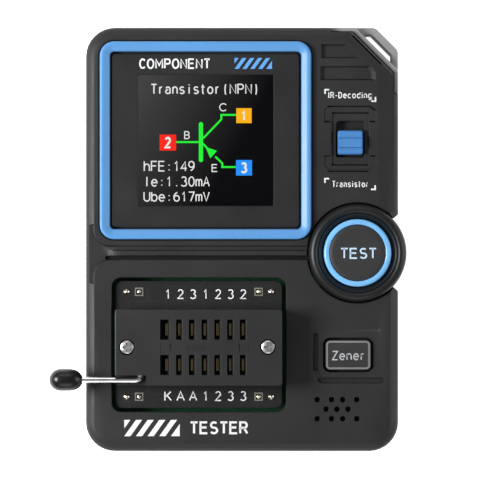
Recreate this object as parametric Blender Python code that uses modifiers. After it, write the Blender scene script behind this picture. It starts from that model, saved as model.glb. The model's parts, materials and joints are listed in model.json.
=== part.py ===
"""Component tester: a palm-sized tester with a lever socket, a colour screen and three controls.

Every separate piece is one object. Lengths in the code are millimetres, which the shape helpers
turn into metres. +Z points out of the face, +Y to the screen end and +X to the TEST button. The
origin is the middle of the back, on the plane that the tester rests on.
"""
import math

import bmesh
import bpy
from mathutils import Matrix, Vector

MM = 0.001
GAP = 0.3
ARC_STEPS = 5
ROOT_2 = math.sqrt(2)

# Casing
BODY_HALF_WIDTH = 31.25
BODY_HALF_LENGTH = 42.4
BODY_CORNER_RADIUS = 5.8
CHAMFER_SUM = 63.7
WALL = 2.0
REAR_TOP = 9.0
FACE = 22.0
CEILING = FACE - WALL
EDGE_SOFTNESS = 1.3
REAR_SOFTNESS = 1.2
REACH = 12.0
WAIST_X = 30.2
WAIST_Y = (-9.4, 4.1)
WAIST_RUN = 1.0
FACE_GROOVE_DEPTH = 0.8
FACE_GROOVES = (
    (-27.0, 14.5, -2.16, -1.36),
    (-27.0, 14.5, -4.05, -3.2),
    (14.2, 15.2, -25.9, -18.7),
    (15.6, 28.3, -28.8, -27.7),
)
TOP_RECESS = ((15.84, 36.25), (23.5, 36.25), (20.8, 39.04), (15.84, 39.04))
TOP_RECESS_DEPTH = 1.0

# Infrared window, sunk under the face, and the receiver behind it
WINDOW_BAR = (16.2, 26.0, 32.1, 34.4)
WINDOW_CUT = (25.2, 33.5)
WINDOW_Z = (20.75, 21.2)
WINDOW_LEDGE = 0.7
RECEIVER = (18.3, 23.9, 31.0, 35.8)
RECEIVER_DOME = (21.1, 33.4, 2.0)

# Screws that close the casing, from the back
SCREW_SPOTS = ((-26.4, 37.8), (26.2, 28.6), (-26.6, -37.6), (26.6, -37.6))
SCREW_SHANK = 1.0
SCREW_HOLE = 1.3
SCREW_HEAD = 2.1
SCREW_HEAD_Z = (0.9, 2.3)
SCREW_END = 15.0
FRONT_POST = 2.6
REAR_POST = 3.2
CROSS_REACH = 1.1
CROSS_HALF_WIDTH = 0.25

# Lanyard guard on the chamfered corner
GUARD_STEP = 0.9
GUARD_TOP_START = 17.7
GUARD_RIGHT_START = 29.0
GUARD_HEIGHT = (4.0, 18.5)
GUARD_OUTER_SUM = 69.2
TONGUE_HEIGHT = (7.7, 10.3)
SLOT_SUMS = (65.3, 67.0)
SLOT_LIMITS = (30.0, 41.0)

# Screen
FRAME_BOX = (-28.43, 13.86, 0.02, 39.6)
FRAME_RADIUS = 2.9
FRAME_INNER = (-26.4, 11.86, 2.04, 37.53)
FRAME_INNER_RADIUS = 0.8
FRAME_TOP = 23.1
SEAT = 20.6
WINDOW = (-20.82, 6.28, 6.72, 32.94)
BEZEL_TOP = 21.9
LENS_MARGIN = 1.0

LENS_THICKNESS = 0.7
MODULE = (-22.5, 8.2, 4.0, 35.6)
MODULE_Z = (16.2, 19.6)
RIBBON_X = (-13.0, -1.0)
RIBBON_Y = (5.0, 12.0)
RIBBON_Z = (14.2, 15.9)
RIBBON_THICKNESS = 0.2

# Boards and how high they lie
BOARD_Z = (12.2, 13.8)
PART_BASE = BOARD_Z[1] + GAP
SOCKET_BOARD = (-25.34, 8.02, -33.78, -8.32)
SOCKET_BOARD_Z = (19.0, 20.6)
BAY = (-26.06, 8.8, -34.5, -7.66)
BOARD_MARGIN = 0.4
CHIP = (-12.0, -5.0, -24.0, -17.0)
CHIP_TOP = 15.1
PIN_RADIUS = 0.42
PIN_HOLE = 0.75
PIN_TOP = 21.3
ROUND_PAD = 0.67
SQUARE_PAD = 0.86
PAD_Z = (20.9, 21.05)
HEADER_HALF = (2.5, 1.2)
HEADER_TOP = 18.4

# Lever socket
ZIF_BOX = (-25.3, 8.0, -29.06, -13.92)
ZIF_BASE_Z = (20.9, 24.0)
ZIF_TOP_Z = 28.6
ZIF_CORNER = 0.6
LEVER_NOTCH = (-19.1, -27.05, 25.0)
SLIDER_ROOM = (-19.3, 2.0, -26.7, -15.1)
SLIDER_ROOM_END = (-18.7, 2.0, -27.9, -26.5)
SHAFT_CHANNEL = (-20.85, -19.2, -27.3, -15.1)
SLIDER_ROOM_TOP = 27.3
SHAFT_CHANNEL_TOP = 26.95
SLIDER = (-18.4, 1.2, -27.5, -15.5)
SLIDER_TOP = 25.1
SLIDER_TAB = (-18.4, -17.8, -24.0, -19.0)
SLIDER_TAB_TOP = 26.9
CONTACT_COUNT = 7
CONTACT_PITCH = 2.54
FIRST_CONTACT = -15.04
CONTACT_ROWS = (-24.99, -17.95)
SLOT_WIDTH = 1.25
SLOT_LENGTH = 4.0
SLIDER_TRAVEL = 0.5
CONTACT_HALF = (0.2, 1.2)
CONTACT_TAIL = 0.3
CONTACT_Z = (18.2, 21.3, 26.4)
ZIF_SCREWS = ((-22.9, -21.46), (5.18, -21.42))
ZIF_SCREW_HOLE = 1.05
ZIF_SCREW_SHANK = 0.75
ZIF_SCREW_HEAD = 1.35
ZIF_SCREW_SEAT = 1.65
ZIF_SCREW_Z = (18.0, 27.5, 28.4)

# Lever
LEVER_AXIS_X = -20.1
LEVER_AXIS_Z = 26.0
LEVER_Y = -28.0
LEVER_RADIUS = 0.6
LEVER_BEND = 1.3
KNOB_SPAN = (-38.42, -31.66)
KNOB_RADIUS = 2.22
KNOB_BORE = 0.8
KNOB_BORE_DEPTH = 3.0
ROD_START = -34.4
SHAFT_END = -15.9

# Controls
TEST_CENTRE = (23.1, -2.7)
COLLAR_RADIUS = 9.8
COLLAR_Z = (15.0, 23.5)
TEST_CAP_RADIUS = 5.4
TEST_RING_RADIUS = 6.76
TEST_CAP_TOP = 23.2
TEST_FLANGE = (7.4, 17.9, 19.2)
TACT_HALF = 3.0
TACT_POCKET = 1.9
PLUNGER_RADIUS = 1.6
TEST_PLUNGER_Z = (15.8, 17.6)
TEST_TACT_TOP = 16.6
ZENER_CENTRE = (21.22, -23.12)
ZENER_SIZE = (9.1, 6.0)
ZENER_Z = (18.6, 22.7)
ZENER_FLANGE_Z = (18.3, 19.4)
ZENER_FLANGE = 0.9
ZENER_PLUNGER_Z = (15.6, 18.0)
ZENER_TACT_TOP = 16.8
SWITCH_X = (19.1, 24.2)
SWITCH_Y = (16.85, 21.9)
SWITCH_SLOT = (18.85, 24.45, 16.6, 23.68)
SWITCH_SEAT = (17.9, 25.4, 15.0, 25.2)
SWITCH_SEAT_DEPTH = 0.7
SWITCH_KNOB_Z = (18.8, 22.9)
SWITCH_FLANGE = (17.6, 25.7, 14.6, 24.2, 18.6, 19.6)
SWITCH_GRIP_TOP = 23.6
SWITCH_GRIP_HALF = 0.95
SWITCH_STEM = (20.7, 22.7, 18.4, 20.4, 16.9, 18.3)
SWITCH_STEM_SLOT = (20.3, 23.1, 17.9, 22.6, 16.5, 19.0)
SWITCH_BODY = (17.5, 25.8, 14.4, 25.6, PART_BASE, 18.1)

# Sounder and the holes over it
BUZZER_CENTRE = (18.8, -34.0)
BUZZER_RADIUS = 5.4
BUZZER_TOP = 18.7
BUZZER_MOUTH = 1.0
SOUND_HOLE = 0.55
OUTER_SOUND_HOLES = ((15.04, 17.92, 20.14, 22.96), (-32.06, -35.88))
MIDDLE_SOUND_HOLES = ((16.8, 19.0, 21.2), -33.96)

# Charging port, on the lower end
PORT_HALF_WIDTH = 4.5
PORT_Z = (PART_BASE, 17.4)
PORT_Y = (-42.1, -35.0)
PORT_WALL = 0.35
PORT_TONGUE = (-3.3, 3.3, -41.4, 15.4, 16.1)

BATTERY = (-22.0, 8.0, -6.0, 34.0)
BATTERY_Z = (2.4, 7.4)


def clear_scene():
    """Take away whatever the file holds."""
    for obj in list(bpy.data.objects):
        bpy.data.objects.remove(obj)


def new_collection(name):
    """A collection in the scene."""
    group = bpy.data.collections.new(name)
    bpy.context.scene.collection.children.link(group)
    return group


def add_object(name, mesh, guide):
    """Put a mesh in the scene, as a piece or as a guide that is only cut or joined with."""
    obj = bpy.data.objects.new(name, mesh)
    bpy.data.collections["cutters" if guide else "component_tester"].objects.link(obj)
    if guide:
        obj.hide_render = True
        obj.display_type = "WIRE"
    return obj


def smooth(mesh):
    """Shade round stretches smooth and keep real edges sharp."""
    mesh.shade_smooth()
    mesh.set_sharp_from_angle(angle=math.radians(30))


def finish(obj, colour, roughness, metallic=0.0):
    """Give a piece a material of its own."""
    material = bpy.data.materials.new(obj.name + "_finish")
    material.use_nodes = True
    shader = material.node_tree.nodes["Principled BSDF"]
    shader.inputs["Base Color"].default_value = (*colour, 1.0)
    shader.inputs["Roughness"].default_value = roughness
    shader.inputs["Metallic"].default_value = metallic
    obj.data.materials.append(material)
    return obj


def arc(centre_x, centre_y, radius, start, end, steps=ARC_STEPS):
    """Points along an arc, with its angles in degrees."""
    angles = [math.radians(start + (end - start) * i / steps) for i in range(steps + 1)]
    return [(centre_x + radius * math.cos(a), centre_y + radius * math.sin(a)) for a in angles]


def rounded(limits, radius, inset=0.0, steps=ARC_STEPS):
    """Outline of a rectangle with round corners, drawn in by inset."""
    left, right, low, high = limits
    left, right, low, high = left + inset, right - inset, low + inset, high - inset
    bend = radius - inset if radius > inset else 0.1
    return (
        arc(right - bend, low + bend, bend, -90, 0, steps)
        + arc(right - bend, high - bend, bend, 0, 90, steps)
        + arc(left + bend, high - bend, bend, 90, 180, steps)
        + arc(left + bend, low + bend, bend, 180, 270, steps)
    )


def rectangle(left, right, low, high):
    """Outline of a plain rectangle."""
    return [(left, low), (right, low), (right, high), (left, high)]


def body_outline(inset):
    """The casing's outline: three round corners and one chamfer, drawn in by inset."""
    half_x = BODY_HALF_WIDTH - inset
    half_y = BODY_HALF_LENGTH - inset
    bend = BODY_CORNER_RADIUS - inset
    chamfer = CHAMFER_SUM - inset * ROOT_2
    return (
        arc(half_x - bend, bend - half_y, bend, -90, 0)
        + [(half_x, chamfer - half_x), (chamfer - half_y, half_y)]
        + arc(bend - half_x, half_y - bend, bend, 90, 180)
        + arc(bend - half_x, bend - half_y, bend, 180, 270)
    )


AXES = {
    "XY": Matrix(((1, 0, 0), (0, 1, 0), (0, 0, 1))),
    "YZ": Matrix(((0, 0, 1), (1, 0, 0), (0, 1, 0))),
    "XZ": Matrix(((1, 0, 0), (0, 0, -1), (0, 1, 0))),
}


def plate(name, loops, low, high, guide=False, plane="XY"):
    """A flat outline, with any holes as further loops, thick from low to high across its plane."""
    curve = bpy.data.curves.new(name, "CURVE")
    curve.dimensions = "2D"
    curve.fill_mode = "BOTH"
    curve.extrude = (high - low) / 2 * MM
    for loop in loops:
        spline = curve.splines.new("POLY")
        spline.points.add(len(loop) - 1)
        spline.use_cyclic_u = True
        for point, (u, v) in zip(spline.points, loop):
            point.co = (u * MM, v * MM, 0.0, 1.0)
    outline = bpy.data.objects.new(name + "_outline", curve)
    bpy.context.scene.collection.objects.link(outline)
    across = (low + high) / 2 * MM
    if plane == "XZ":
        across = -across
    outline.matrix_world = AXES[plane].to_4x4() @ Matrix.Translation((0.0, 0.0, across))
    bpy.context.view_layer.update()
    evaluated = outline.evaluated_get(bpy.context.evaluated_depsgraph_get())
    mesh = bpy.data.meshes.new_from_object(evaluated)
    mesh.name = name
    weld(mesh)
    smooth(mesh)
    obj = add_object(name, mesh, guide)
    obj.matrix_world = outline.matrix_world
    bpy.data.objects.remove(outline)
    bpy.data.curves.remove(curve)
    return obj


def weld(mesh):
    """Weld loose caps, merge flat triangles and turn the faces outwards."""
    shape = bmesh.new()
    shape.from_mesh(mesh)
    bmesh.ops.remove_doubles(shape, verts=shape.verts, dist=1e-6)
    bmesh.ops.dissolve_limit(
        shape, angle_limit=math.radians(0.5), verts=shape.verts, edges=shape.edges
    )
    bmesh.ops.recalc_face_normals(shape, faces=shape.faces)
    shape.to_mesh(mesh)
    shape.free()


def soften(obj, width, segments=2, top=True, bottom=False):
    """Round a plate's outline edges on its top, its bottom or both."""
    shape = bmesh.new()
    shape.from_mesh(obj.data)
    heights = [vertex.co.z for vertex in shape.verts]
    levels = [max(heights)] * top + [min(heights)] * bottom
    edges = [
        edge
        for edge in shape.edges
        if any(all(abs(v.co.z - level) < 1e-6 for v in edge.verts) for level in levels)
        and edge.calc_face_angle(0.0) > 1.0
    ]
    bmesh.ops.bevel(
        shape, geom=edges, offset=width * MM, segments=segments, profile=0.5, affect="EDGES"
    )
    shape.to_mesh(obj.data)
    shape.free()
    smooth(obj.data)
    return obj


def blocks(name, limits, guide=False):
    """One mesh of separate blocks, each between (x0, x1, y0, y1, z0, z1)."""
    shape = bmesh.new()
    for x0, x1, y0, y1, z0, z1 in limits:
        centre = Vector((x0 + x1, y0 + y1, z0 + z1)) / 2 * MM
        size = Vector((x1 - x0, y1 - y0, z1 - z0)) * MM
        bmesh.ops.create_cube(shape, size=1.0, matrix=Matrix.LocRotScale(centre, None, size))
    mesh = bpy.data.meshes.new(name)
    shape.to_mesh(mesh)
    shape.free()
    return add_object(name, mesh, guide)


def rods(name, spots, radius, low, high, guide=False, segments=16):
    """One mesh of separate upright cylinders at the (x, y) spots."""
    shape = bmesh.new()
    for x, y in spots:
        centre = Vector((x, y, (low + high) / 2)) * MM
        bmesh.ops.create_cone(
            shape, cap_ends=True, segments=segments, radius1=radius * MM, radius2=radius * MM,
            depth=(high - low) * MM, matrix=Matrix.Translation(centre),
        )
    mesh = bpy.data.meshes.new(name)
    shape.to_mesh(mesh)
    shape.free()
    smooth(mesh)
    return add_object(name, mesh, guide)


def turned(name, profile, spot, steps=24, closed=False, guide=False):
    """A profile of (radius, height) points, top to bottom, turned about an upright axis."""
    mesh = bpy.data.meshes.new(name)
    points = [(radius * MM, 0.0, height * MM) for radius, height in profile]
    links = [(i, i + 1) for i in range(len(points) - 1)]
    if closed:
        links.append((len(points) - 1, 0))
    mesh.from_pydata(points, links, [])
    obj = add_object(name, mesh, guide)
    obj.location = (spot[0] * MM, spot[1] * MM, 0.0)
    screw = obj.modifiers.new("turn", "SCREW")
    screw.steps = steps
    screw.render_steps = steps
    screw.use_merge_vertices = True
    screw.merge_threshold = 1e-6
    return obj


def combine(obj, other, operation):
    """Cut a guide out of a piece, or join it on."""
    modifier = obj.modifiers.new(other.name, "BOOLEAN")
    modifier.operation = operation
    modifier.solver = "EXACT"
    modifier.object = other
    return obj


def cut(obj, *others):
    """Cut guides out of a piece."""
    for other in others:
        combine(obj, other, "DIFFERENCE")
    return obj


def join(obj, *others):
    """Join guides onto a piece."""
    for other in others:
        combine(obj, other, "UNION")
    return obj


def pivot(name, x, y, z):
    """An empty on a joint's axis, for the pieces that move on it."""
    empty = bpy.data.objects.new(name, None)
    bpy.data.collections["component_tester"].objects.link(empty)
    empty.location = (x * MM, y * MM, z * MM)
    bpy.context.view_layer.update()
    return empty


def hang(empty, *pieces):
    """Parent pieces to a joint's empty without moving them."""
    for piece in pieces:
        piece.parent = empty
        piece.matrix_parent_inverse = empty.matrix_world.inverted()


def cross_cutters(name, spot, reach, half_width, low, high):
    """Two crossing bars for a screw's cross recess."""
    x, y = spot
    across = [(x - reach, x + reach, y - half_width, y + half_width, low, high)]
    along = [(x - half_width, x + half_width, y - reach, y + reach, low, high)]
    return blocks(name + "_across", across, guide=True), blocks(name + "_along", along, guide=True)


def contact_spots():
    """The fourteen contact places, row by row."""
    return [
        (FIRST_CONTACT + CONTACT_PITCH * i, y) for y in CONTACT_ROWS for i in range(CONTACT_COUNT)
    ]


def guard_step_cutter():
    """The room that both shells leave for the lanyard guard."""
    edge_x = BODY_HALF_WIDTH - GUARD_STEP
    edge_y = BODY_HALF_LENGTH - GUARD_STEP
    far = BODY_HALF_LENGTH + REACH
    outline = [
        (GUARD_TOP_START, edge_y),
        (CHAMFER_SUM - edge_y, edge_y),
        (edge_x, CHAMFER_SUM - edge_x),
        (edge_x, GUARD_RIGHT_START),
        (far, GUARD_RIGHT_START),
        (far, far),
        (GUARD_TOP_START, far),
    ]
    return plate("guard_step", [outline], -1.0, FACE + 1.0, guide=True)


def side_notch_cutter():
    """The waist in both shells' right side, under the TEST collar."""
    outer = BODY_HALF_WIDTH
    far = BODY_HALF_WIDTH + REACH
    low, high = WAIST_Y
    outline = [
        (WAIST_X, low), (outer, low - WAIST_RUN), (far, low - WAIST_RUN),
        (far, high + WAIST_RUN), (outer, high + WAIST_RUN), (WAIST_X, high),
    ]
    return plate("side_notch", [outline], -1.0, FACE + 1.0, guide=True)


def corner_plate(name, pieces, low, high, guide=False):
    """Outlines given along and into the chamfer, from the chamfer's middle."""
    middle = Vector((26.35, CHAMFER_SUM - 26.35))
    along = Vector((1.0, -1.0)) / ROOT_2
    inward = Vector((-1.0, -1.0)) / ROOT_2
    loop = [tuple(middle + along * a + inward * d) for a, d in pieces]
    return plate(name, [loop], low, high, guide)


def make_rear_shell(step, notch, tongue_notch):
    """The back half of the casing, with its screw posts."""
    shell = plate("rear_shell", [body_outline(0.0)], 0.0, REAR_TOP)
    soften(shell, REAR_SOFTNESS, top=False, bottom=True)
    cavity = plate("rear_cavity", [body_outline(WALL)], WALL, REAR_TOP + 1.0, guide=True)
    posts = rods("rear_posts", SCREW_SPOTS, REAR_POST, WALL - 0.4, REAR_TOP - 0.2, guide=True)
    cut(shell, cavity, step, notch, tongue_notch)
    join(shell, posts)
    cut(
        shell,
        rods("rear_screw_holes", SCREW_SPOTS, SCREW_HOLE, -1.0, REAR_TOP + 1.0, guide=True, segments=12),
        rods("rear_screw_seats", SCREW_SPOTS, SCREW_HEAD + GAP, -1.0, SCREW_HEAD_Z[1] + GAP, guide=True),
    )
    finish(shell, (0.035, 0.035, 0.037), 0.55)


def face_cutters():
    """Every opening and groove of the face."""
    seat = plate("frame_seat", [rounded(FRAME_BOX, FRAME_RADIUS, -GAP)], SEAT, FACE + 2, guide=True)
    window = [limit + side for limit, side in zip(WINDOW, (-1.3, 1.3, -1.3, 1.3))]
    opening = plate("lens_opening", [rectangle(*window)], CEILING - 1, SEAT + 1, guide=True)
    bay = plate("socket_bay", [rounded(BAY, 1.9)], CEILING - 1, FACE + 1, guide=True)
    well = rods("collar_seat", [TEST_CENTRE], COLLAR_RADIUS + GAP, COLLAR_Z[0] - GAP, FACE + 2,
                guide=True, segments=40)
    slot = plate("switch_slot", [rectangle(*SWITCH_SLOT)], CEILING - 1, FACE + 1, guide=True)
    switch_seat = plate("switch_seat", [rectangle(*SWITCH_SEAT)], FACE - SWITCH_SEAT_DEPTH, FACE + 1,
                        guide=True)
    half_x, half_y = (size / 2 + GAP for size in ZENER_SIZE)
    hole = (ZENER_CENTRE[0] - half_x, ZENER_CENTRE[0] + half_x,
            ZENER_CENTRE[1] - half_y, ZENER_CENTRE[1] + half_y)
    zener = plate("zener_hole", [rounded(hole, 1.2)], CEILING - 1, FACE + 1, guide=True)
    grooves = blocks(
        "face_grooves", [(*groove, FACE - FACE_GROOVE_DEPTH, FACE + 1) for groove in FACE_GROOVES], guide=True
    )
    recess = plate("top_recess", [TOP_RECESS], FACE - TOP_RECESS_DEPTH, FACE + 1, guide=True)
    return [seat, opening, bay, well, slot, switch_seat, zener, grooves, recess]


def window_outline(inset):
    """The infrared window's outline: a bar with a cut corner, drawn in by inset."""
    left, right, low, high = WINDOW_BAR
    cut_x, cut_y = WINDOW_CUT
    draw = 0.4 * inset
    return [
        (left + inset, low + inset), (right - inset, low + inset), (right - inset, cut_y - draw),
        (cut_x - draw, high - inset), (left + inset, high - inset),
    ]


def sound_hole_spots():
    """Three staggered rows of sound holes."""
    columns, rows = OUTER_SOUND_HOLES
    middle_columns, middle_row = MIDDLE_SOUND_HOLES
    return [(x, y) for y in rows for x in columns] + [(x, middle_row) for x in middle_columns]


def make_front_shell(step, notch, tongue_notch):
    """The front half of the casing: walls, face, posts and every opening."""
    bottom = REAR_TOP + GAP
    shell = soften(plate("front_shell", [body_outline(0.0)], bottom, FACE), EDGE_SOFTNESS)
    cavity = plate("front_cavity", [body_outline(WALL)], bottom - 1, CEILING, guide=True)
    posts = rods("front_posts", SCREW_SPOTS, FRONT_POST, bottom + 0.2, CEILING + 0.3, guide=True)
    cut(shell, cavity, step, notch, tongue_notch)
    join(shell, posts)
    holes = rods("front_screw_holes", SCREW_SPOTS, SCREW_HOLE, bottom - 1, SCREW_END + 2 * GAP, guide=True,
                 segments=12)
    cut(shell, holes)
    cut(shell, *face_cutters())
    port_hole = (PORT_HALF_WIDTH + 0.5, PORT_Z[0] - 0.4, PORT_Z[1] + 0.5)
    cut(
        shell,
        plate("window_seat", [window_outline(0.0)], WINDOW_Z[0] - GAP, FACE + 1, guide=True),
        plate("window_opening", [window_outline(WINDOW_LEDGE)], CEILING - 1, WINDOW_Z[1], guide=True),
        rods("sound_holes", sound_hole_spots(), SOUND_HOLE, CEILING - 1, FACE + 1, guide=True, segments=8),
        blocks("usb_opening", [
            (-port_hole[0], port_hole[0], -BODY_HALF_LENGTH - 1, WALL + 1 - BODY_HALF_LENGTH, *port_hole[1:]),
        ], guide=True),
    )
    finish(shell, (0.05, 0.05, 0.052), 0.5)


def make_corner_guard():
    """The grey lanyard guard: a slotted bar outside, and a T-shaped tongue between the shells."""
    edge_x = BODY_HALF_WIDTH - GUARD_STEP + GAP
    edge_y = BODY_HALF_LENGTH - GUARD_STEP + GAP
    inner_sum = CHAMFER_SUM + GAP * ROOT_2
    out_x, out_y = 31.3, 42.45
    outline = [
        (edge_x, GUARD_RIGHT_START + GAP), (out_x, GUARD_RIGHT_START + GAP),
        (out_x, GUARD_OUTER_SUM - out_x), (GUARD_OUTER_SUM - out_y, out_y),
        (GUARD_TOP_START + GAP, out_y), (GUARD_TOP_START + GAP, edge_y),
        (inner_sum - edge_y, edge_y), (edge_x, inner_sum - edge_x),
    ]
    near, far = SLOT_SUMS
    right, high = SLOT_LIMITS
    slot = [(near - high, high), (right, near - right), (right, far - right), (far - high, high)]
    guard = plate("corner_guard", [outline, slot], *GUARD_HEIGHT)
    tee = [(2.0, -0.8), (2.0, 2.4), (3.4, 2.4), (3.4, 3.8), (-3.4, 3.8), (-3.4, 2.4), (-2.0, 2.4), (-2.0, -0.8)]
    join(guard, corner_plate("guard_tongue", tee, *TONGUE_HEIGHT, guide=True))
    finish(guard, (0.36, 0.37, 0.38), 0.45)


def make_housing_screws():
    """Four pan-head screws from the back, with a cross recess."""
    low, high = SCREW_HEAD_Z
    profile = [
        (0.0, SCREW_END), (SCREW_SHANK, SCREW_END - 0.6), (SCREW_SHANK, high), (SCREW_HEAD, high),
        (SCREW_HEAD, low + 0.4), (SCREW_HEAD - 0.6, low), (0.0, low),
    ]
    for number, spot in enumerate(SCREW_SPOTS, 1):
        screw = turned(f"housing_screw_{number}", profile, spot, steps=12)
        cut(screw, *cross_cutters(f"cross_{number}", spot, CROSS_REACH, CROSS_HALF_WIDTH, 0.0, low + 0.6))
        finish(screw, (0.45, 0.45, 0.46), 0.35, 1.0)


def make_screen():
    """The blue frame, the dark panel inside it, the lens and the display behind."""
    ring = [rounded(FRAME_BOX, FRAME_RADIUS), rounded(FRAME_INNER, FRAME_INNER_RADIUS)]
    frame = soften(plate("screen_frame", ring, SEAT + GAP, FRAME_TOP), 0.5)
    finish(frame, (0.10, 0.35, 0.75), 0.4)
    panel = [rounded(FRAME_INNER, FRAME_INNER_RADIUS, GAP), rounded(WINDOW, 0.4, steps=2)]
    finish(plate("screen_bezel", panel, SEAT + GAP, BEZEL_TOP), (0.04, 0.04, 0.045), 0.35)
    left, right, low, high = WINDOW
    lens = (left - LENS_MARGIN, right + LENS_MARGIN, low - LENS_MARGIN, high + LENS_MARGIN)
    finish(blocks("screen_lens", [(*lens, SEAT - LENS_THICKNESS, SEAT)]), (0.01, 0.01, 0.012), 0.08)
    module = plate("display_module", [rounded(MODULE, 0.6, steps=2)], *MODULE_Z)
    finish(module, (0.02, 0.02, 0.02), 0.3)
    make_display_ribbon()


def make_display_ribbon():
    """The flat cable that folds from the display's back to the board."""
    lower, upper = RIBBON_Z
    bend_y, end_y = RIBBON_Y
    middle = (upper + lower) / 2
    outer = (upper - lower) / 2
    inner = outer - RIBBON_THICKNESS
    outline = (
        [(end_y, upper)]
        + arc(bend_y, middle, outer, 90, 270, 6)
        + [(end_y, lower), (end_y, lower + RIBBON_THICKNESS)]
        + arc(bend_y, middle, inner, 270, 90, 6)
        + [(end_y, upper - RIBBON_THICKNESS)]
    )
    finish(plate("display_ribbon", [outline], *RIBBON_X, plane="YZ"), (0.45, 0.25, 0.05), 0.4)


def make_slide_switch():
    """The mode switch: knob, actuator and body."""
    left, right = SWITCH_X
    low, high = SWITCH_Y
    middle = (low + high) / 2
    knob_low, knob_high = SWITCH_KNOB_Z
    knob = blocks("switch_knob", [(left, right, low, high, knob_low, knob_high)])
    grip = (left + 0.2, right - 0.2, middle - SWITCH_GRIP_HALF, middle + SWITCH_GRIP_HALF,
            knob_high - 0.4, SWITCH_GRIP_TOP)
    join(knob, blocks("knob_flange", [SWITCH_FLANGE], guide=True), blocks("knob_grip", [grip], guide=True))
    finish(knob, (0.08, 0.30, 0.68), 0.4)
    stem = blocks("switch_stem", [SWITCH_STEM])
    finish(stem, (0.02, 0.02, 0.02), 0.5)
    body = blocks("switch_body", [SWITCH_BODY])
    cut(body, blocks("stem_slot", [SWITCH_STEM_SLOT], guide=True))
    finish(body, (0.5, 0.5, 0.52), 0.35, 1.0)
    hang(pivot("switch_axis", (left + right) / 2, middle, FACE - 1), knob, stem)


def make_test_button():
    """The TEST button: collar, cap, light ring, and the tactile switch below."""
    make_test_collar()
    flange, flange_low, flange_high = TEST_FLANGE
    cap_profile = [
        (0.0, TEST_CAP_TOP), (TEST_CAP_RADIUS - 0.5, TEST_CAP_TOP), (TEST_CAP_RADIUS, TEST_CAP_TOP - 0.3),
        (TEST_CAP_RADIUS, flange_high), (flange, flange_high), (flange, flange_low), (0.0, flange_low),
    ]
    cap = turned("test_button_cap", cap_profile, TEST_CENTRE, steps=32)
    finish(cap, (0.05, 0.05, 0.055), 0.45)
    inner = TEST_CAP_RADIUS + GAP
    top = TEST_CAP_TOP + 0.1
    ring_profile = [
        (inner, top), (TEST_RING_RADIUS - 0.3, top), (TEST_RING_RADIUS, top - 0.3),
        (TEST_RING_RADIUS, flange_high + GAP), (inner, flange_high + GAP),
    ]
    ring = turned("test_button_ring", ring_profile, TEST_CENTRE, steps=32, closed=True)
    finish(ring, (0.25, 0.6, 0.95), 0.3)
    plunger = rods("test_switch_plunger", [TEST_CENTRE], PLUNGER_RADIUS, *TEST_PLUNGER_Z)
    finish(plunger, (0.02, 0.02, 0.02), 0.5)
    make_tact_switch("test_switch_body", TEST_CENTRE, TEST_TACT_TOP)
    hang(pivot("test_axis", *TEST_CENTRE, FACE), cap, ring, plunger)


def make_test_collar():
    """The round collar in the face: a flat band, a step down and a clear throat for the light ring."""
    bottom, top = COLLAR_Z
    throat = TEST_RING_RADIUS + GAP
    flange, _, flange_high = TEST_FLANGE
    room = flange + 0.4
    profile = [
        (COLLAR_RADIUS - 1.5, top), (COLLAR_RADIUS - 0.5, top), (COLLAR_RADIUS, top - 0.5),
        (COLLAR_RADIUS, bottom), (room, bottom), (room, flange_high + 0.6), (throat, flange_high + 0.6),
        (throat, top - 2.3),
    ]
    collar = turned("test_button_collar", profile, TEST_CENTRE, steps=40, closed=True)
    finish(collar, (0.045, 0.045, 0.047), 0.45)


def make_tact_switch(name, centre, top):
    """A square tactile switch with a round pocket for its plunger."""
    x, y = centre
    half = TACT_HALF
    body = blocks(name, [(x - half, x + half, y - half, y + half, PART_BASE, top)])
    cut(body, rods(name + "_pocket", [centre], TACT_POCKET, PART_BASE + 0.6, top + 1, guide=True))
    finish(body, (0.5, 0.5, 0.52), 0.35, 1.0)


def make_zener_button():
    """The square-cornered push button and the tactile switch below."""
    x, y = ZENER_CENTRE
    half_x, half_y = (size / 2 for size in ZENER_SIZE)
    outline = rounded((x - half_x, x + half_x, y - half_y, y + half_y), 1.0)
    cap = soften(plate("zener_button_cap", [outline], *ZENER_Z), 0.35)
    half_x, half_y = half_x + ZENER_FLANGE, half_y + ZENER_FLANGE
    flange = (x - half_x, x + half_x, y - half_y, y + half_y, *ZENER_FLANGE_Z)
    join(cap, blocks("zener_flange", [flange], guide=True))
    finish(cap, (0.06, 0.06, 0.062), 0.5)
    plunger = rods("zener_switch_plunger", [ZENER_CENTRE], PLUNGER_RADIUS, *ZENER_PLUNGER_Z)
    finish(plunger, (0.02, 0.02, 0.02), 0.5)
    make_tact_switch("zener_switch_body", ZENER_CENTRE, ZENER_TACT_TOP)
    hang(pivot("zener_axis", x, y, FACE), cap, plunger)


def make_main_board():
    """The board across the casing, clear of the screw posts."""
    board = plate("main_board", [body_outline(WALL + BOARD_MARGIN)], *BOARD_Z)
    gaps = rods("post_gaps", SCREW_SPOTS, FRONT_POST + BOARD_MARGIN, BOARD_Z[0] - 1, BOARD_Z[1] + 1, guide=True)
    cut(board, gaps)
    finish(board, (0.02, 0.12, 0.05), 0.4)
    finish(blocks("processor_chip", [(*CHIP, PART_BASE, CHIP_TOP)]), (0.02, 0.02, 0.02), 0.5)


def header_places():
    """The four two-pin headers: name, round pin, square pin."""
    for end, y in (("upper", -10.5), ("lower", -31.5)):
        yield f"header_{end}_left", (-23.14, y), (-20.6, y)
        yield f"header_{end}_right", (5.86, y), (3.34, y)


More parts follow.
